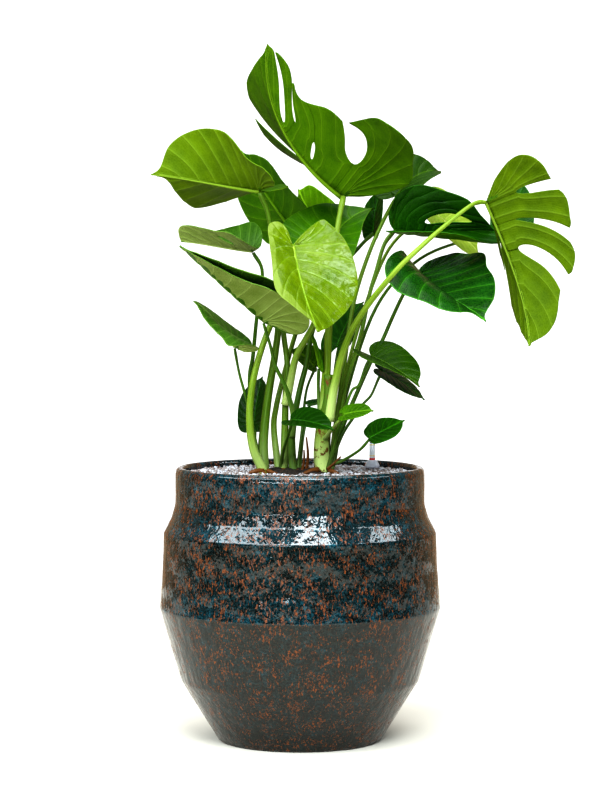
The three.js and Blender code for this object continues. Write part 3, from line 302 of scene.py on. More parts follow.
         width=(0.28, 0.38), lobe=(0.6, 0.6), droop=(10, 5), sweep=3, belly=0.03, fold=(12, 12),
         curl=(-12, -12), stalk=[(42, 14, 345), (58, 34, 430), (96, 50, 540), (150, 96, 600), (212, 132, 626),
         (250, 120, 628), (266, 100, 622)], radii=(2.4, 1.8)),
    leaf("edge_on", "main_shoot", "shaded", at=(25, 0, 466), turn=180, rise=78, roll=8, length=50,
         width=(0.2, 0.2), lobe=(0.6, 0.6), droop=(6, 2), belly=0.03, fold=(22, 22), curl=(-8, -8),
         stalk=[(25, 3, 396), (23, 3, 440)], radii=(2, 1.5)),
    leaf("behind_stem", "centre_shoot", "shaded", at=(12, 24, 419), turn=8, rise=14, roll=12, length=28,
         width=(0.46, 0.44), lobe=(0.8, 0.8), droop=(12, 4), belly=0.03, fold=(14, 14), curl=(-12, -12),
         stalk=[(0, 2, 345), (4, 14, 380)], radii=(1.8, 1.3)),
]


# Looks from here on: noise scales are cells per metre, and distances are in metres.
# Each kind of blade: its dark, light and vein colour above and below, and the wax on its upper face. New
# blades are soft and shiny and buckle most, and roll over one margin, which shows its paler underside.
LOOKS = {
    "mature": dict(upper=("#1e4400", "#345c00", "#587e14"), under=("#385c00", "#4c7000", "#6c8c1c"),
                   wax=dict(roughness=0.3)),
    "shaded": dict(upper=("#0e3200", "#1a4600", "#34700c"), under=("#2e5600", "#3e6a00", "#668c18"),
                   wax=dict(roughness=0.3)),
    "greyish": dict(upper=("#284a0c", "#385c14", "#6c9038"), under=("#667834", "#7a8a48", "#98a864"),
                    wax=dict(roughness=0.4)),
    "new": dict(upper=("#506800", "#667a00", "#88a828"), under=("#6c8418", "#84942c", "#a4b450"),
                wax=dict(roughness=0.1, gloss=0.3, buckled=1.0, rolled="#7c9038")),
    "pale": dict(upper=("#74901c", "#8ea034", "#b4c068"), under=("#74901c", "#8ea034", "#b4c068"),
                 wax=dict(roughness=0.4)),
    "bluish": dict(upper=("#0c3208", "#184c16", "#5cb028"), under=("#2c5800", "#3c6c00", "#6c9018"),
                   wax=dict(roughness=0.2, gloss=0.2, buckled=0.15)),
    "young": dict(upper=("#2e5400", "#3e6a00", "#7c9c20"), under=("#486000", "#5c7400", "#7e9830"),
                  wax=dict(roughness=0.35)),
}
SMOOTH = dict(interpolation_type="SMOOTHSTEP")


def linear(hex_colour):
    """An sRGB hex colour as the linear one that Blender's sockets take."""
    parts = [int(hex_colour[k:k + 2], 16) / 255 for k in (1, 3, 5)]
    return (*(c / 12.92 if c <= 0.04045 else ((c + 0.055) / 1.055) ** 2.4 for c in parts), 1)


def add_node(tree, kind, inputs=(), out=0, ramp=(), **settings):
    """Adds a shader node with its settings, inputs and colour ramp, and returns the output asked for.

    Inputs go by name or in Blender's own order, which for MapRange is the value, from least and most, and to
    least and most. An output given as an input is linked, and a hex colour turned linear."""
    node = tree.nodes.new("ShaderNode" + kind)
    for name, value in settings.items():
        setattr(node, name, value)
    for name, value in inputs.items() if isinstance(inputs, dict) else enumerate(inputs):
        if isinstance(value, bpy.types.NodeSocket):
            tree.links.new(value, node.inputs[name])
        else:
            node.inputs[name].default_value = linear(value) if isinstance(value, str) else value
    if ramp:
        stops = node.color_ramp.elements
        while len(stops) < len(ramp):
            stops.new(0.5)
        for stop, (place, colour) in zip(stops, ramp):
            stop.position = place
            stop.color = linear(colour) if isinstance(colour, str) else (colour, colour, colour, 1)
    return node.outputs[out] if node.outputs else None


def new_material(name):
    """An empty material, and add_node for its tree."""
    material = bpy.data.materials.new(name)
    material.use_nodes = True
    material.node_tree.nodes.clear()
    return material, partial(add_node, material.node_tree)


def painted(add, colour, *coats):
    """Paints coats over a colour, each a share or a mask and the colour that it brings."""
    factor, under, over, result = 0, 6, 7, 2
    for share, coat in coats:
        colour = add("Mix", {factor: share, under: colour, over: coat}, out=result, data_type="RGBA")
    return colour


def leaf_face(name, dark, light, vein_colour, veins_up, roughness, gloss=0.14, buckled=0.0, rolled=None):
    """Monstera leaf tissue: a waxy skin, smooth above and matt below, that lets a little light through.

    The eye gets the paler veins, a fine network between them, a light margin and slow changes of green."""
    material, add = new_material(name)
    flat = add("Attribute", out="Vector", attribute_name="flat")
    vein, rim, rib, shade = (add("Attribute", out="Fac", attribute_name=layer)
                             for layer in ("vein", "rim", "rib", "shade"))
    clouds = add("TexNoise", {"Vector": flat, "Scale": 28, "Detail": 4, "Roughness": 0.55})
    patches = add("MapRange", (clouds, 0.36, 0.64))
    # The network of fine veins, about 3 mm between veins, drawn coarser than the real 1 mm to show.
    cells = add("TexVoronoi", {"Vector": flat, "Scale": 330}, feature="DISTANCE_TO_EDGE")
    net = add("MapRange", (cells, 0, 0.22, 1, 0))
    faint_net = add("Math", (net, 0.16), operation="MULTIPLY")
    # Fine creases beside the side veins, about 2.5 mm apart, wandering a little. They are pressed into the
    # bump, and painted darker with the dark green as painted shade.
    wander = add("Math", (clouds, 0.0022, vein), operation="MULTIPLY_ADD")
    turns = add("Math", (wander, 2500), operation="MULTIPLY")
    crease_with_painted_shade = add("MapRange", (add("Math", (turns,), operation="SINE"), 0.3, 1, 0, 0.3), **SMOOTH)
    # Painted shade: the creases are painted with the dark green.
    colour = painted(add, dark, (patches, light), (faint_net, vein_colour), (crease_with_painted_shade, dark))
    # Paler marks beside and on the side veins, on the midrib and along the margin: the line that each is
    # measured from, where it starts to fade and where it is gone, in metres, and its strength.
    for line, near, far, strength, fade in (
            (vein, 0.0005, 0.006, 0.1, SMOOTH), (vein, 0.0002, 0.0009, 0.3, SMOOTH),
            (rib, 0.0008, 0.0022, 0.85, SMOOTH), (rim, 0, 0.0012, 0.5, {})):
        colour = painted(add, colour, (add("MapRange", (line, near, far, strength, 0), **fade), vein_colour))
    if rolled:
        # The margin of the right half is rolled over in an uneven band about 7 mm wide.
        right_half = add("Math", (add("SeparateXYZ", (flat,)), 0), operation="GREATER_THAN")
        uneven = add("Math", (clouds, 0.016, rim), operation="MULTIPLY_ADD")
        band = add("MapRange", (uneven, 0.0152, 0.016, 0.85, 0))
        colour = painted(add, colour, (add("Math", (band, right_half), operation="MULTIPLY"), rolled))
    # Painted light and shade: the blade's shade scales its colour, partly for its own tone and partly for how
    # brightly it is lit.
    colour = add("VectorMath", {"Vector": colour, "Scale": shade}, operation="SCALE")
    grain = add("TexNoise", {"Vector": flat, "Scale": 900, "Detail": 2})
    relief = add("MapRange", (vein, 0, 0.002, veins_up, 0), **SMOOTH)
    for form, strength in ((grain, 0.35), (net, veins_up * 0.16), (crease_with_painted_shade, -0.8)):
        relief = add("Math", (form, strength, relief), operation="MULTIPLY_ADD")
    # Slow buckles of the soft tissue, 12 to 25 mm across, which break the shine into patches.
    buckles = add("TexNoise", {"Vector": flat, "Scale": 62, "Detail": 1.5})
    soft = add("Bump", {"Strength": 0.5, "Distance": 0.0012 + buckled * 0.006, "Height": buckles})
    bump = add("Bump", {"Strength": 0.5, "Distance": 0.0007, "Height": relief, "Normal": soft})
    wax = add("MapRange", (clouds, 0, 1, roughness - 0.05, roughness + 0.1))
    skin = add("BsdfPrincipled", {"Base Color": colour, "Roughness": wax, "Normal": bump, "IOR": 1.45,
                                  "Specular IOR Level": gloss})
    through_light = add("BsdfTranslucent", {"Color": colour, "Normal": bump})
    add("OutputMaterial", {"Surface": add("MixShader", (0.16, skin, through_light))})
    return material


def stalk_material():
    """Leaf stalk, a smooth green rind: satin, with fine pale streaks along it and a few corky specks.

    The young stalks are yellow-green and pale where they clasp the shoot, and the old ones dark green."""
    material, add = new_material("satin_leaf_stalk")
    along = add("Attribute", out="Vector", attribute_name="straight")
    tone, bark = (add("Attribute", out="Fac", attribute_name=layer) for layer in ("tone", "bark"))
    green = painted(add, "#5a760e", (tone, "#0c3000"))
    light = painted(add, "#869a3a", (tone, "#265008"))
    drawn_out = add("Mapping", {"Vector": along, "Scale": (420, 420, 16)})
    streaks = add("TexNoise", {"Vector": drawn_out, "Scale": 1, "Detail": 3})
    slow = add("TexNoise", {"Vector": along, "Scale": 14, "Detail": 2})
    # Corky specks 1 to 2 mm across.
    specks = add("TexNoise", {"Vector": along, "Scale": 330, "Detail": 2})
    # The young stalks' pale foot, up to 70 mm from the shoot.
    foot = add("MapRange", (add("SeparateXYZ", (along,), out="Z"), 0.01, 0.07, 0.6, 0), **SMOOTH)
    young = add("Math", (1, tone), operation="SUBTRACT")
    pale = add("Math", (foot, young), operation="MULTIPLY")
    # Brown cork where old leaves have come off the stem, in patches of 3 to 10 mm.
    cork = add("TexNoise", {"Vector": along, "Scale": 110, "Detail": 5, "Roughness": 0.7})
    corky = add("Math", (cork, bark), operation="MULTIPLY")
    colour = painted(add, green, (add("MapRange", (streaks, 0.35, 0.68)), light),
                     (add("MapRange", (slow, 0.42, 0.62, 0, 0.5)), light),
                     (add("MapRange", (specks, 0.66, 0.7, 0, 0.7)), "#5a3c1c"), (pale, "#c8d890"),
                     (add("MapRange", (corky, 0.47, 0.53)), "#5e3a1a"))
    bump = add("Bump", {"Strength": 0.3, "Distance": 0.0006, "Height": streaks})
    add("OutputMaterial", {"Surface": add("BsdfPrincipled", {
        "Base Color": colour, "Normal": bump, "Roughness": 0.36, "IOR": 1.45, "Specular IOR Level": 0.16})})
    return material


def glaze_material():
    """Reactive stoneware glaze: glassy and pooled, so highlights break up on its slow waves.

    The eye gets teal pools over near-black clay, bluer where the glaze ran thick above the ridges and olive
    low down where it ran thin, and rust flecks and short runs where the iron comes through."""
    material, add = new_material("reactive_teal_glaze")
    place = add("TexCoord", out="Object")
    share = add("MapRange", (add("SeparateXYZ", (place,), out="Z"), 0, 0.345))
    # How thick the glaze lies: thin to the ridge at 166 mm, pooled above both upper ridges and under the lip.
    thick = add("ValToRGB", (share,), ramp=[(0.0, 0.1), (0.3, 0.25), (0.48, 0.15), (0.485, 0.85), (0.58, 0.5),
                                            (0.74, 0.35), (0.76, 0.85), (0.84, 0.6), (0.95, 0.7)])
    # Noise drawn out round the pot or up it, in cells per metre: pools of 8 to 20 mm, longer round the pot,
    # rust flecks of 1 to 4 mm that ran down with the glaze, and wrinkles 10 to 20 mm apart, longer up it.
    pools, flecks, wrinkles = (
        add("TexNoise", {"Vector": add("Mapping", {"Vector": place, "Scale": (around, around, up)}),
                         "Scale": 1, "Detail": detail, "Roughness": roughness, "Distortion": distortion})
        for around, up, detail, roughness, distortion in (
            (62, 85, 6, 0.68, 0), (400, 170, 3, 0.6, 0.6), (85, 42, 3, 0.5, 0)))
    pooled = add("Math", (thick, 0.22, pools), operation="MULTIPLY_ADD")
    base = add("ValToRGB", (pooled,), ramp=[(0.42, "#0c0a06"), (0.54, "#0a1212"), (0.64, "#0c2428"),
                                            (0.76, "#123c46"), (0.9, "#225e6c")])
    # Fine mottling, 2 to 4 mm.
    fine = add("TexNoise", {"Vector": place, "Scale": 400, "Detail": 3, "Roughness": 0.7})
    mottle = add("MapRange", (fine, 0.44, 0.57))
    dark = painted(add, base, (0.75, "#020302"))
    light = painted(add, base, (0.3, painted(add, "#2a2e20", (thick, "#1e4048"))))
    # The rust comes in clusters 20 to 40 mm wide.
    clusters = add("TexNoise", {"Vector": place, "Scale": 60, "Detail": 3})
    clustered = add("Math", (clusters, 0.45, flecks), operation="MULTIPLY_ADD")
    rust = add("MapRange", (clustered, 0.755, 0.865), **SMOOTH)
    rust_colour = painted(add, "#2a1202", (mottle, "#6c3606"))
    colour = painted(add, dark, (mottle, light), (rust, rust_colour))
    orange_peel = add("TexNoise", {"Vector": place, "Scale": 260, "Detail": 2})
    slow_bump = add("Bump", {"Strength": 0.6, "Distance": 0.0025, "Height": wrinkles})
    bump = add("Bump", {"Strength": 0.3, "Distance": 0.00025, "Height": orange_peel, "Normal": slow_bump})
    # Glassy on the pools and dry on the rust.
    gloss = add("MapRange", (rust, 0, 1, 0.05, 0.4))
    add("OutputMaterial", {"Surface": add("BsdfPrincipled", {"Base Color": colour, "Roughness": gloss,
                                                             "Normal": bump, "IOR": 1.5})})
    return material


def pumice_material():
    """Crushed pumice: rough, chalky and full of pores, each grain between off-white and pinkish brown.

    The grain tints run further, to near black and bluish white, as painted shade and highlight between
    grains, and the pores are painted darker as painted shade.
    """
    material, add = new_material("crushed_pumice")
    tint = add("Attribute", out="Fac", attribute_name="tint")
    # The tints from near black to bluish white: each grain's own tone, spread wider as painted shade and
    # highlight between grains.
    stone_and_painted_light = add("ValToRGB", (tint,), ramp=[(0, "#2c1f1d"), (0.25, "#604f4a"), (0.6, "#8c827e"),
                                           (1, "#bcc0c8")])
    # Pores of about 1 mm, painted darker as painted shade in them; the same noise makes the bump.
    pores_with_painted_shade = add("TexNoise", {"Vector": add("TexCoord", out="Object"), "Scale": 900, "Detail": 3})
    colour = painted(add, stone_and_painted_light, (add("MapRange", (pores_with_painted_shade, 0.56, 0.66, 0, 0.6)), "#6a5650"))
    bump = add("Bump", {"Strength": 0.6, "Distance": 0.0006, "Height": pores_with_painted_shade})
    add("OutputMaterial", {"Surface": add("BsdfPrincipled", {"Base Color": colour, "Normal": bump,
                                                             "Roughness": 0.85})})
    return material


def soil_material():
    """Moist potting soil: dark fibrous crumbs of 2 to 3 mm, dull with a slight wet sheen."""
    material, add = new_material("moist_potting_soil")
    place = add("TexCoord", out="Object")
    crumbs = add("TexNoise", {"Vector": place, "Scale": 420, "Detail": 4, "Roughness": 0.7})
    colour = add("ValToRGB", (crumbs,), ramp=[(0.3, "#080402"), (0.52, "#1c100a"), (0.68, "#4a2e1c")])
    bump = add("Bump", {"Strength": 0.9, "Distance": 0.0025, "Height": crumbs})
    add("OutputMaterial", {"Surface": add("BsdfPrincipled", {"Base Color": colour, "Normal": bump,
                                                             "Roughness": 0.8})})
    return material


def plastic_material(name, low, high, roughness, transmission=0.0):
    """Moulded plastic: even and smooth, with faint flow marks about 6 mm apart."""
    material, add = new_material(name)
    flow = add("TexNoise", {"Vector": add("TexCoord", out="Object"), "Scale": 160, "Detail": 2})
    bump = add("Bump", {"Strength": 0.1, "Distance": 0.0003, "Height": flow})
    add("OutputMaterial", {"Surface": add("BsdfPrincipled", {
        "Base Color": painted(add, low, (flow, high)), "Normal": bump, "Roughness": roughness, "IOR": 1.49,
        "Transmission Weight": transmission})})
    return material


def paper_material():
    """Seamless photographic paper: matt, even and pale, with slow changes of tone."""
    material, add = new_material("pale_paper_floor")
    fibre = add("TexNoise", {"Vector": add("TexCoord", out="Object"), "Scale": 3, "Detail": 3})
    add("OutputMaterial", {"Surface": add("BsdfPrincipled", {
        "Base Color": painted(add, "#cac4b8", (fibre, "#cec8be")), "Roughness": 0.9,
        "Specular IOR Level": 0.1})})
    return material


def new_object(name, data):
    """A new object for the data, at the origin of the scene."""
    made = bpy.data.objects.new(name, data)
    bpy.context.collection.objects.link(made)
    return made


def new_mesh(name, bm, *materials):
    """Turns a bmesh into a mesh with its materials."""
    mesh = bpy.data.meshes.new(name)
    bm.to_mesh(mesh)
    bm.free()
    for material in materials:
        mesh.materials.append(material)
    return mesh


def make_piece(name, bm, node, *materials, smooth=True):
    """Turns a bmesh in millimetres into a piece that stands for its CAD node."""
    bmesh.ops.scale(bm, vec=(MM, MM, MM), verts=bm.verts[:])
    piece = new_object(name, new_mesh(name, bm, *materials))
    piece.data.polygons.foreach_set("use_smooth", [smooth] * len(piece.data.polygons))
    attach(piece, "root")
    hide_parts(node)


def through(points, p):
    """Places on the smooth curve through points, at shares p of it."""
    points = np.asarray(points, float)
    count = len(points) - 1
    ends = np.vstack([2 * points[0] - points[1], points, 2 * points[-1] - points[-2]])
    at = np.clip(np.asarray(p, float) * count, 0, count)
    k = np.minimum(at.astype(int), count - 1)
    t = (at - k)[..., None]
    a, b, c, d = (ends[k + n] for n in range(4))
    return 0.5 * (2 * b + (c - a) * t + (2 * a - 5 * b + 4 * c - d) * t ** 2
                  + (3 * b - a - 3 * c + d) * t ** 3)


def path_run(points):
    """How far along the path each of its points lies."""
    return np.concatenate([[0], np.cumsum(np.linalg.norm(np.diff(points, axis=0), axis=1))])


def unit(vectors):
    return vectors / np.linalg.norm(vectors, axis=-1, keepdims=True)


def sweep(bm, path, radii, sides, straight=None, marks=()):
    """A closed tube along a path in millimetres: a circle, extruded ring by ring and set square to the path.

    The layer straight takes the place on the unbent tube, and each mark is a layer with its value or with a
    function of the run along the tube."""
    path = [Vector(point) for point in path]
    last = len(path) - 1
    aims = [(path[min(k + 1, last)] - path[max(k - 1, 0)]).normalized() for k in range(len(path))]
    turned = aims[0].to_track_quat("Z", "Y")
    frames = []
    for k, aim in enumerate(aims):
        if k:
            turned = aims[k - 1].rotation_difference(aim) @ turned
        size = Matrix.Diagonal((radii[k], radii[k], 1, 1))
        frames.append(Matrix.Translation(path[k]) @ turned.to_matrix().to_4x4() @ size)
    verts = bmesh.ops.create_circle(bm, cap_ends=True, segments=sides, radius=1)["verts"]
    edges = list({edge for vert in verts for edge in vert.link_edges})
    bmesh.ops.transform(bm, matrix=frames[0], verts=verts)
    made = set()
    along = 0.0
    for k in range(len(path)):
        if k:
            grown = bmesh.ops.extrude_edge_only(bm, edges=edges)["geom"]
            verts = [item for item in grown if isinstance(item, bmesh.types.BMVert)]
            edges = [item for item in grown if isinstance(item, bmesh.types.BMEdge)]
            bmesh.ops.transform(bm, matrix=frames[k] @ frames[k - 1].inverted(), verts=verts)
            along += (path[k] - path[k - 1]).length
        made.update(verts)
        for vert in verts if straight else ():
            local = frames[k].inverted() @ vert.co
            vert[straight] = (local.x * radii[0] * MM, local.y * radii[0] * MM, along * MM)
            for layer, value in marks:
                vert[layer] = value(along) if callable(value) else value
    bmesh.ops.contextual_create(bm, geom=edges)
    faces = list({face for vert in made for face in vert.link_faces})
    bmesh.ops.recalc_face_normals(bm, faces=faces)
    return faces


def flat_points(leaf, side, p, q):
    """Places on the flat blade: p from stalk to tip along the margin, q from midrib to margin."""
    half = (side + 1) // 2
    vein_power, bow_out, bow_up = 1.5, 0.55, 0.2
    margin = through(OUTLINE, p)
    mx, my = margin[..., 0], margin[..., 1]
    my = np.where(my < 0, my * leaf["lobe"][half], my)
    start = np.where(p <= FAN_END, 0, (np.maximum(p - FAN_END, 0) / (1 - FAN_END)) ** vein_power)
    knots = leaf["reach"][half]
    if knots:
        reach = through(np.array(knots)[:, None], p)[..., 0]
        mx, my = mx * reach, start + (my - start) * reach
    bow = start + bow_up * (my - start)
    x = 2 * q * (1 - q) * bow_out * mx + q * q * mx
    y = (1 - q) ** 2 * start + 2 * q * (1 - q) * bow + q * q * my
    return x, y + leaf["belly"] * np.sin(math.pi * np.clip(y, 0, 1)) * np.clip(x, 0, 1)


def bent_points(leaf, side, x, y, lift=0.0):
    """Bends flat places along the drooping midrib and folds each half up from it, in millimetres."""
    half = (side + 1) // 2
    sweep_angle, twist_angle = math.radians(leaf["sweep"]), math.radians(leaf["twist"])
    droop, further_droop = (math.radians(angle) for angle in leaf["droop"])
    fold, unfold, curl = (math.radians(leaf[bend][half]) for bend in ("fold", "unfold", "curl"))
    curl = curl or 1e-4
    along = np.maximum(y, 0)

    def forward(t):
        down = droop * t + further_droop * t * t
        turn = sweep_angle * t
        return np.stack([np.sin(turn) * np.cos(down), np.cos(turn) * np.cos(down), -np.sin(down)], axis=-1)

    steps = (np.arange(BEND_STEPS) + 0.5) / BEND_STEPS
    middle = leaf["length"] * along[..., None] * forward(along[..., None] * steps).mean(axis=-2)
    middle[..., 1] += np.minimum(y, 0) * leaf["length"]
    turn = sweep_angle * along
    across = np.stack([np.cos(turn), -np.sin(turn), np.zeros_like(along)], axis=-1)
    normal = np.cross(across, forward(along))
    twist = twist_angle * y[..., None]
    across, normal = (np.cos(twist) * across + np.sin(twist) * normal,
                      np.cos(twist) * normal - np.sin(twist) * across)
    lean = fold + unfold * y
    width = leaf["width"][half] * leaf["length"]
    out = ((np.sin(lean + curl * x) - np.sin(lean)) / curl * width)[..., None]
    up = ((np.cos(lean) - np.cos(lean + curl * x)) / curl * width)[..., None]
    lean = (lean + curl * x)[..., None]
    face = np.cos(lean) * normal - np.sin(lean) * side * across
    return middle + across * side * out + normal * up + face * np.asarray(lift)[..., None]


def blade_frame(leaf):
    """The blade's own directions: to its right, along its midrib and up from its face."""
    turn, rise, roll = (math.radians(leaf[angle]) for angle in ("turn", "rise", "roll"))
    along = np.array([math.cos(rise) * math.cos(turn), math.cos(rise) * math.sin(turn), math.sin(rise)])
    right = unit(np.array([along[1], -along[0], 0]))
    right = right * math.cos(roll) - np.cross(right, along) * math.sin(roll)
    return np.stack([right, along, np.cross(right, along)])


def placed(leaf, points):
    return points @ blade_frame(leaf) + np.array(leaf["at"])


def cut_edge(cut, q, side_of_cut):
    """Where the edge of a slot or hole runs, as a share of the margin."""
    _, place, start, end, inside, outside, lean = cut[:7]
    s = np.clip((q - start) / (end - start), 0, 1)
    rounded = np.sqrt(1 - (1 - np.minimum(s / CUT_ROUNDING, 1)) ** 2)
    if end < 1:
        rounded = rounded * np.sqrt(1 - (1 - np.minimum((1 - s) / CUT_ROUNDING, 1)) ** 2)
        wide = inside
    else:
        wide = inside + (outside - inside) * s
    return place + lean * np.maximum(q - start, 0) + side_of_cut * wide * rounded


def rounded_corners(before, after, rows, shares):
    """How far the ends of a finger beside open slots draw back from the margin."""
    back = np.zeros((len(shares), len(rows)))
    for cut, near, (reach, depth) in ((before, shares, BASE_CORNER), (after, 1 - shares, TIP_CORNER)):
        if cut and cut[3] >= 1:
            depth = cut[7] if cut is after and len(cut) > 7 else depth
            corner = np.clip(1 - near[:, None] / reach, 0, 1) ** 2
            back += depth * corner * np.clip((rows - cut[2]) / (1 - cut[2]), 0, 1) ** 3
    return back


def blade_rows(cuts):
    """Rows of faces from midrib to margin, closer together at the ends of slots and holes."""
    rows = list(BLADE_ROWS)
    for _, _, start, end, *_ in cuts:
        rows += list(start + (end - start) * ROWS_AT_CUT)
        if end < 1:
            rows += list(end - (end - start) * ROWS_AT_CUT)
    rows = sorted(rows)
    kept = [rows[0]]
    for row in rows[1:]:
        if row - kept[-1] >= LEAST_ROW:
            kept.append(row)
    kept[-1] = rows[-1]
    return np.array(kept)


def finger_columns(inner, length, veins):
    """Where a finger's veins and its columns of faces run: at its ends and cuts, at veins, and even ones."""
    vein_shares = (np.arange(veins) + 0.5) / veins
    ridge = min(VEIN_EDGE / max(length, 1), 0.2 / veins)
    keep = sorted({0.0, 1.0, *inner} | {v + d for v in vein_shares for d in (-ridge, 0, ridge)})
    even = np.linspace(0, 1, max(4, round(length / COLUMN_STEP)) + 1)
    apart = 0.35 / len(even)
    even = [e for e in even if min(abs(e - k) for k in keep) > apart]
    return vein_shares, np.array(sorted([*keep, *even]))


def blade_relief(leaf, side, p, q, y, vein_distance, spacing, wave):
    """How high the face stands: quilted up between the side veins, grooved on them, ruffled at the margin.

    The quilting flattens towards the margin, and narrow fingers have shallow grooves."""
    between = np.minimum(vein_distance / np.maximum(spacing / 2, 1e-6), 1)
    quilt = np.sin(between * math.pi / 2) ** 1.3 * np.clip((1 - q) * 6, 0.35, 1)
    groove = np.exp(-(vein_distance / VEIN_WIDTH) ** 2) * np.clip(spacing / 6, 0, 1)
    ruffle = np.sin(2 * math.pi * (p * wave["waves"] + wave["phase"] + 0.3 * side)) * wave["height"]
    return leaf["quilting"] * spacing * quilt - VEIN_DEPTH * groove + ruffle * q ** 3 * np.clip(1 - y, 0, 1)


def grow_finger(bm, leaf, side, layers, wave, rows, before, after):
    """The faces of one finger of a half blade, from the cut before it to the cut after it, or to the ends."""
    low, high = (before[1] if before else 0.0), (after[1] if after else 1.0)
    width = leaf["width"][(side + 1) // 2]
    samples = np.linspace(0, 1, MARGIN_SAMPLES)
    run = path_run(through(OUTLINE, samples) * leaf["length"] * np.array([width, 1]))
    length = np.interp(high, samples, run) - np.interp(low, samples, run)
    veins = max(1, round(length / (VEIN_SPACING * leaf["length"])))
    inner = [(cut[1] - low) / (high - low) for cut in leaf["cuts"] if low < cut[1] < high]
    vein_shares, shares = finger_columns(inner, length, veins)
    start = cut_edge(before, rows, 1) if before else np.zeros_like(rows)
    end = cut_edge(after, rows, -1) if after else np.ones_like(rows)
    p = start + (end - start) * shares[:, None]
    q = rows - rounded_corners(before, after, rows, shares)
    x, y = flat_points(leaf, side, p, q)
    steps = np.linalg.norm(np.diff(bent_points(leaf, side, x, y), axis=0), axis=-1)
    run_along = np.concatenate([np.zeros((1, len(rows))), np.cumsum(steps, axis=0)])
    vein_columns = [int(np.argmin(abs(shares - v))) for v in vein_shares]
    vein_distance = np.min([abs(run_along - run_along[c]) for c in vein_columns], axis=0)
    lift = blade_relief(leaf, side, p, q, y, vein_distance, run_along[-1] / veins, wave)
    points = placed(leaf, bent_points(leaf, side, x, y, lift))
    rim = (1 - q) * width * leaf["length"]
    for edge, cut in ((run_along, before), (run_along[-1] - run_along, after)):
        if cut:
            opened = (rows > cut[2]) & ((rows < cut[3]) | (cut[3] >= 1))
            rim = np.where(opened, np.minimum(rim, edge), rim)
    rib = x * width * leaf["length"]
    flat = np.stack([side * rib, y * leaf["length"], np.zeros_like(y)], axis=-1) * MM
    marks = [("vein", vein_distance * MM), ("rim", rim * MM), ("rib", rib * MM)]
    grid = bmesh.ops.create_grid(bm, x_segments=len(rows) - 1, y_segments=len(shares) - 1, size=1)["verts"]
    for k, vert in enumerate(grid):
        at = divmod(k, len(rows))
        vert.co = points[at]
        vert[layers["flat"]] = flat[at]
        for name, values in marks:
            vert[layers[name]] = values[at]
    if side < 0:
        bmesh.ops.reverse_faces(bm, faces=list({face for vert in grid for face in vert.link_faces}))


def thicken_blade(bm):
    """Draws the sheet down by its thickness into a closed blade, with material 1 below and round the rim."""
    bm.normal_update()
    for vert in bm.verts:
        vert.co -= vert.normal * (BLADE_THICKNESS / 2)
    upper = set(bm.faces)
    grown = bmesh.ops.extrude_face_region(bm, geom=bm.faces[:], use_keep_orig=True)["geom"]
    raised = [item for item in grown if isinstance(item, bmesh.types.BMVert)]
    for face in upper:
        face.material_index = 1
    for vert in raised:
        vert.co += vert.normal * BLADE_THICKNESS
    bmesh.ops.recalc_face_normals(bm, faces=bm.faces[:])


def grow_midrib(bm, leaf, layers):
    """The midrib stands out under the blade and thins to nothing at the tip."""
    tip_radius, taper = 0.4, 1.2
    y = np.linspace(0.004, 0.95, 30)
    radii = tip_radius + (leaf["radii"][1] * 0.85 - tip_radius) * (1 - y) ** taper
    ridge = placed(leaf, bent_points(leaf, 1, np.zeros_like(y), y))
    below = unit(placed(leaf, bent_points(leaf, 1, np.zeros_like(y), y, np.full_like(y, -1.0))) - ridge)
    path = ridge + below * (BLADE_THICKNESS * 0.6 + 0.35 * radii[:, None])
    for face in sweep(bm, path, radii, RIB_SIDES):
        face.material_index = 1
        for vert in face.verts:
            # A metre from any vein and from the rim: neither is drawn on the midrib.
            vert[layers["rim"]] = vert[layers["vein"]] = 1


def build_blade(leaf, materials):
    rng = random.Random(leaf["name"])
    wave = dict(waves=rng.uniform(2.2, 3.6), phase=rng.random(), height=leaf["length"] * RUFFLE)
    bm = bmesh.new()
    layers = {name: bm.verts.layers.float.new(name) for name in ("vein", "rim", "rib", "shade")}
    layers["flat"] = bm.verts.layers.float_vector.new("flat")
    for side in (-1, 1):
        cuts = sorted((cut for cut in leaf["cuts"] if cut[0] == side), key=lambda cut: cut[1])
        rows = blade_rows(cuts if cuts else leaf["cuts"])
        ends = [None, *cuts, None]
        for before, after in zip(ends, ends[1:]):
            grow_finger(bm, leaf, side, layers, wave, rows, before, after)
    bmesh.ops.remove_doubles(bm, verts=bm.verts[:], dist=WELD)
    bmesh.ops.dissolve_degenerate(bm, edges=bm.edges[:], dist=0.001)
    thicken_blade(bm)
    grow_midrib(bm, leaf, layers)
    # Each blade's shade goes to its materials: its own tone together with painted light and shade.
    for vert in bm.verts:
        vert[layers["shade"]] = leaf["shade"]
    make_piece("blade_" + leaf["name"], bm, "leaf_" + leaf["name"], *materials)


def stalk_path(leaf, foot):
    """The middle of a leaf's stalk from the rootstock to just under its blade, and its radii."""
    _, along, up = blade_frame(leaf)
    bottom, top = leaf["radii"]
    end = np.array(leaf["at"]) - (BLADE_THICKNESS + 0.45 * top) * up - 0.5 * along
    points = [*leaf["stalk"], tuple(end)]
    if points[0][2] < PUMICE_TOP + CROWN_HEIGHT + 5:
        points.insert(0, foot)
    path = through(points, np.linspace(0, 1, max(12, 6 * len(points))))
    run = path_run(path)
    # The base swells where it clasps the shoot, and the bend below the blade is a little thicker.
    radii = (bottom + (top - bottom) * run / run[-1]) * (1 + BASE_SWELLING * np.exp(-run / BASE_REACH))
    from_bend = (run[-1] - run - BEND_PLACE) / BEND_REACH
    return path, radii * (1 + BEND_SWELLING * np.exp(-from_bend ** 2))


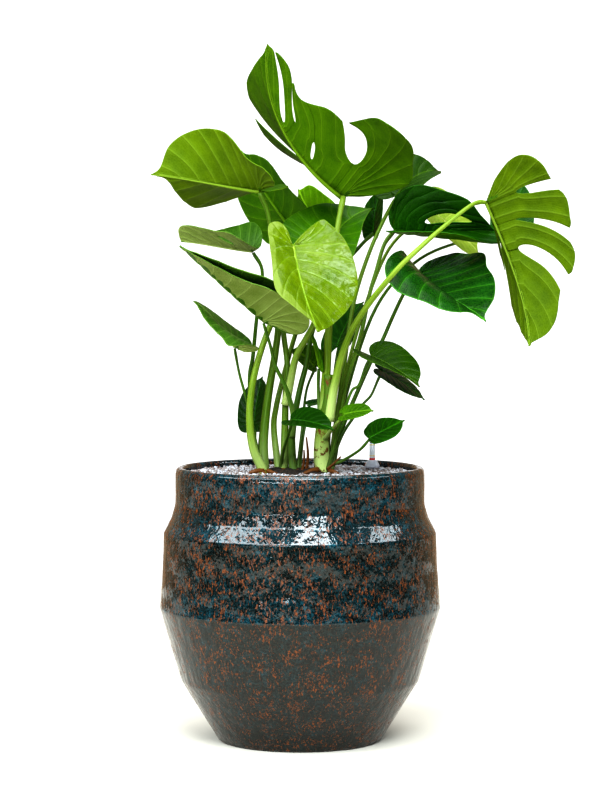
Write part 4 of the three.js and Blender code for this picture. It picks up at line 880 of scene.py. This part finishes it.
def build_shoot(name, shoot, material):
    """A rootstock with its stem, the stalks of its leaves and its roots."""
    bm = bmesh.new()
    straight = bm.verts.layers.float_vector.new("straight")
    tone, bark = (bm.verts.layers.float.new(layer) for layer in ("tone", "bark"))
    x, y = shoot["at"]

    def add_tube(path, radii, sides, darkness, cork):
        sweep(bm, path, radii, sides, straight=straight, marks=[(tone, darkness), (bark, cork)])

    add_tube([(x, y, PUMICE_TOP + height) for height, _ in ROOTSTOCK],
             [shoot["radius"] * share for _, share in ROOTSTOCK], STEM_SIDES, 0.5, 1.2)
    if "stem" in shoot:
        t = np.linspace(0, 1, 30)
        first, last = shoot["radii"]
        add_tube(through([(x, y, PUMICE_TOP), *shoot["stem"]], t), first + (last - first) * t, STEM_SIDES,
                 lambda run: min(STEM_TONE, max(0.0, (run - STEM_TONE_START) / STEM_TONE_LENGTH)), 0.88)
    for leaf in LEAVES:
        if leaf["shoot"] == name:
            add_tube(*stalk_path(leaf, (x, y, PUMICE_TOP - 5)), STALK_SIDES, leaf["tone"], 0)
    for points, first, last in ROOTS[name]:
        t = np.linspace(0, 1, 10)
        add_tube(through(points, t), first + (last - first) * t, ROOT_SIDES, 1, 2)
    make_piece(name + "_stalks", bm, name, material)


def rounded_profile(points, radius):
    """A profile with its inner corners rounded, cut into short steps."""
    points = [np.array(point, float) for point in points]
    soft = [points[0]]
    for before, here, after in zip(points, points[1:], points[2:]):
        reach = min(radius, *(np.linalg.norm(other - here) * 0.3 for other in (before, after)))
        a, b = (here + unit(other - here) * reach for other in (before, after))
        soft.append(a + unit(before - here) * reach * 0.5)
        soft += [(1 - t) ** 2 * a + 2 * t * (1 - t) * here + t * t * b for t in (0, 0.25, 0.5, 0.75, 1)]
        soft.append(b + unit(after - here) * reach * 0.5)
    soft.append(points[-1])
    fine = [soft[0]]
    for a, b in zip(soft, soft[1:]):
        parts = max(1, round(np.linalg.norm(b - a) / PROFILE_STEP))
        fine += [a + (b - a) * k / parts for k in range(1, parts + 1)]
    return fine


def turned(bm, profile, segments):
    """Spins a profile of radius and height round the pot's axis into a closed shell."""
    verts = [bm.verts.new((radius, 0, height)) for radius, height in profile]
    edges = [bm.edges.new(pair) for pair in zip(verts, verts[1:])]
    bmesh.ops.spin(bm, geom=verts + edges, axis=(0, 0, 1), cent=(0, 0, 0), angle=2 * math.pi,
                   steps=segments, use_merge=True)
    bmesh.ops.remove_doubles(bm, verts=bm.verts[:], dist=0.01)
    bmesh.ops.recalc_face_normals(bm, faces=bm.faces[:])


def build_pot(material):
    bm = bmesh.new()
    turned(bm, rounded_profile(POT_FOOT + POT_RIDGES + POT_LIP + POT_INSIDE, RIDGE_ROUNDING), POT_SEGMENTS)
    for vert in bm.verts:
        x, y, z = vert.co
        radius = math.hypot(x, y)
        if radius < 1 or z < 3:
            continue
        # A hand-thrown wall is never quite true: half a millimetre in and out, and less at the lip.
        depth = 0.5 if z < NECK_HEIGHT else 0.25
        wave = noise.noise(Vector((x, y, z * 1.6)) * 0.03) * depth
        scale = 1 + (wave - WALL_INSET) / radius
        vert.co = (x * scale, y * scale, z)
    make_piece("glazed_pot", bm, "pot", material)


def in_soil_patch(x, y):
    """The bare soil round the shoots, an uneven oval: under 1 inside it."""
    x, y = x + 8, y - 2
    angle = math.atan2(y, x)
    return math.hypot(x / 56, y / 34) / (1 + 0.18 * math.sin(3 * angle + 1) + 0.1 * math.sin(7 * angle))


def build_soil(material):
    bm = bmesh.new()
    turned(bm, rounded_profile([*SOIL_OUTSIDE, (FILL_RADIUS - 1, SOIL_TOP), (0, SOIL_TOP)], SOIL_ROUNDING),
           FILL_SEGMENTS)
    for vert in bm.verts:
        inside = in_soil_patch(vert.co.x, vert.co.y)
        if vert.co.z > SOIL_TOP - 0.5 and inside < 1.15:
            lump = noise.noise(Vector(vert.co[:]) * 0.12) * 2.5
            vert.co.z += (SOIL_MOUND + lump) * max(0, 1 - inside ** 4 * 0.6)
    make_piece("potting_soil", bm, "soil", material)


def grain_shapes(rng):
    """A dozen lumps of radius 1, as meshes with a tint."""
    shapes = []
    for _ in range(GRAIN_KINDS):
        bm = bmesh.new()
        bmesh.ops.create_icosphere(bm, subdivisions=1, radius=1)
        for vert in bm.verts:
            vert.co *= rng.uniform(*GRAIN_BUMPS)
        bmesh.ops.recalc_face_normals(bm, faces=bm.faces[:])
        shapes.append(new_mesh("grain", bm))
        shapes[-1].attributes.new("tint", "FLOAT", "POINT")
    return shapes


def build_pumice(material):
    """A bed with a few thousand loose grains of 4 to 6 mm on it, left out over the bare soil."""
    rng = random.Random(SEED)
    shapes = grain_shapes(rng)
    bm = bmesh.new()
    tint = bm.verts.layers.float.new("tint")
    turned(bm, PUMICE_BED, FILL_SEGMENTS)
    for vert in bm.verts:
        vert[tint] = 0.0
        if in_soil_patch(vert.co.x, vert.co.y) < 1:
            vert.co.z = min(vert.co.z, PUMICE_BOTTOM + 1)
    rows = int(2 * FILL_RADIUS / ROW_SPACING) + 1
    for row, column in ((row, column) for row in range(rows) for column in range(rows)):
        x = -FILL_RADIUS + (column + 0.5 * (row % 2)) * GRAIN_SPACING + rng.uniform(*GRAIN_JITTER)
        y = -FILL_RADIUS + row * ROW_SPACING + rng.uniform(*GRAIN_JITTER)
        size = rng.uniform(*GRAIN_RADIUS)
        shade = rng.betavariate(2.2, 1.6)
        height = PUMICE_TOP - 1.8 + rng.uniform(*GRAIN_LIFT)
        squash = rng.uniform(*GRAIN_SQUASH)
        turns = [Matrix.Rotation(rng.uniform(0, 2 * math.pi), 4, axis) for axis in "ZXY"]
        at_wall = math.hypot(x, y) > FILL_RADIUS - 1.5 - size
        at_gauge = math.hypot(x - GAUGE_AT[0], y - GAUGE_AT[1]) < GAUGE_ROOM
        if at_wall or at_gauge or in_soil_patch(x, y) < 0.9:
            continue
        grain = shapes[rng.randrange(len(shapes))].copy()
        grain.transform(Matrix.Translation((x, y, height)) @ turns[0] @ turns[1] @ turns[2]
                        @ Matrix.Diagonal((size, size * squash, size, 1)))
        grain.attributes["tint"].data.foreach_set("value", [shade] * len(grain.vertices))
        bm.from_mesh(grain)
        bpy.data.meshes.remove(grain)
    for shape in shapes:
        bpy.data.meshes.remove(shape)
    make_piece("pumice_grains", bm, "pumice", material, smooth=False)


def build_gauge(clear, grey, red, yellow):
    """The water gauge: a clear tube with its red float and yellow level marks, and the dome it stands in."""
    x, y = GAUGE_AT
    bm = bmesh.new()
    for kind, rings in ((0, GAUGE_TUBE), (1, GAUGE_FLOAT), *((2, mark) for mark in GAUGE_MARKS)):
        for face in sweep(bm, [(x, y, z) for z, _ in rings], [radius for _, radius in rings], GAUGE_SIDES):
            face.material_index = kind
    make_piece("gauge_tube_clear", bm, "gauge_tube", clear, red, yellow)
    bm = bmesh.new()
    turned(bm, GAUGE_DOME, DOME_SEGMENTS)
    bmesh.ops.translate(bm, verts=bm.verts[:], vec=(x, y, 0))
    make_piece("gauge_foot_dome", bm, "gauge_collar", grey)


# The studio, in metres and degrees. The paper is 7 m wide and ends 1.6 m behind the pot, so the sides of the
# glaze mirror the warm walls.
FLOOR_SIZE = 7
FLOOR_BACK = 1.6
LIGHT_DISTANCE = 3.0
LIGHT_AIM = (0, 0, 0.3)
LIGHT_COLOUR = (0.86, 0.95, 1.0)
# Each softbox: azimuth from the camera's side, clockwise from above, elevation, width, height and brightness.
SOFTBOXES = {
    "key_softbox": (8, 36, 1.5, 1.0, 19), "window_softbox": (-50, 34, 3.4, 0.9, 10),
    "right_softbox": (78, 32, 1.8, 0.4, 9), "ceiling_softbox": (0, 66, 2.0, 0.5, 8),
    "low_softbox": (-22, 9, 1.6, 0.24, 14),
}
OVERHEAD_ENERGY = 2.4
OVERHEAD_SPREAD = 60


def build_floor(material):
    bm = bmesh.new()
    bmesh.ops.create_grid(bm, x_segments=1, y_segments=1, size=FLOOR_SIZE / 2)
    bmesh.ops.translate(bm, verts=bm.verts, vec=(0, FLOOR_BACK - FLOOR_SIZE / 2, 0))
    new_object("floor", new_mesh("floor", bm, material))


def build_walls():
    """A white studio that falls off to a dim room on the side of the camera."""
    world = bpy.data.worlds.new("studio")
    world.use_nodes = True
    add = partial(add_node, world.node_tree)
    direction = add("TexCoord", out="Generated")
    depth, height = (add("SeparateXYZ", (direction,), out=axis) for axis in "YZ")
    walls = add("ValToRGB", (add("MapRange", (depth, -1, 1)),),
                ramp=[(0.3, "#585858"), (0.58, "#645c54"), (0.7, "#a2886c"), (0.988, "#b49a7c"),
                      (0.993, "#ffffff")])
    room = painted(add, walls, (add("MapRange", (height, 0.3, 0.6)), "#8e9aa0"))
    world.node_tree.links.new(room, world.node_tree.nodes["Background"].inputs["Color"])
    bpy.context.scene.world = world
    bpy.context.scene.view_settings.view_transform = "Standard"
    bpy.context.scene.view_settings.look = "High Contrast"


def add_lights():
    """Soft lights all round, aimed at the pot, and a broad one overhead."""
    for name, (azimuth, elevation, width, height, brightness) in SOFTBOXES.items():
        turn, rise = math.radians(azimuth), math.radians(elevation)
        away = Vector((math.cos(rise) * math.sin(turn), -math.cos(rise) * math.cos(turn), math.sin(rise)))
        data = bpy.data.lights.new(name, "AREA")
        data.shape = "RECTANGLE"
        data.size, data.size_y = width, height
        data.energy = brightness * math.pi * width * height
        data.color = LIGHT_COLOUR
        light = new_object(name, data)
        light.location = Vector(LIGHT_AIM) + away * LIGHT_DISTANCE
        light.rotation_euler = (-away).to_track_quat("-Z", "Y").to_euler()
    overhead = bpy.data.lights.new("overhead_light", "SUN")
    overhead.energy = OVERHEAD_ENERGY
    overhead.angle = math.radians(OVERHEAD_SPREAD)
    new_object("overhead_light", overhead)


def place_camera():
    data = bpy.data.cameras.new("camera")
    data.lens = CAMERA_LENS
    data.sensor_width = SENSOR_WIDTH
    camera = new_object("camera", data)
    camera.location = CAMERA_PLACE
    camera.rotation_euler = (math.radians(90 - CAMERA_PITCH), 0, 0)
    bpy.context.scene.camera = camera


place_camera()
build_floor(paper_material())
build_walls()
add_lights()
build_pot(glaze_material())
build_soil(soil_material())
build_pumice(pumice_material())
build_gauge(plastic_material("clear_acrylic_tube", "#dce0e6", "#e6eaf0", 0.12, 0.15),
            plastic_material("grey_moulded_foot", "#b0b0ba", "#c4c4ce", 0.25),
            plastic_material("red_float", "#c0201c", "#d83028", 0.35),
            plastic_material("yellow_level_mark", "#d8b020", "#e8c830", 0.4))
rind = stalk_material()
for shoot_name, shoot_shape in SHOOTS.items():
    build_shoot(shoot_name, shoot_shape, rind)
blade_materials = {
    name: [leaf_face(name + "_leaf_upper_face", *look["upper"], veins_up=-0.4, **look["wax"]),
           leaf_face(name + "_leaf_underside", *look["under"], veins_up=0.6, roughness=0.5, gloss=0.06)]
    for name, look in LOOKS.items()}
for one in LEAVES:
    build_blade(one, blade_materials[one["look"]])
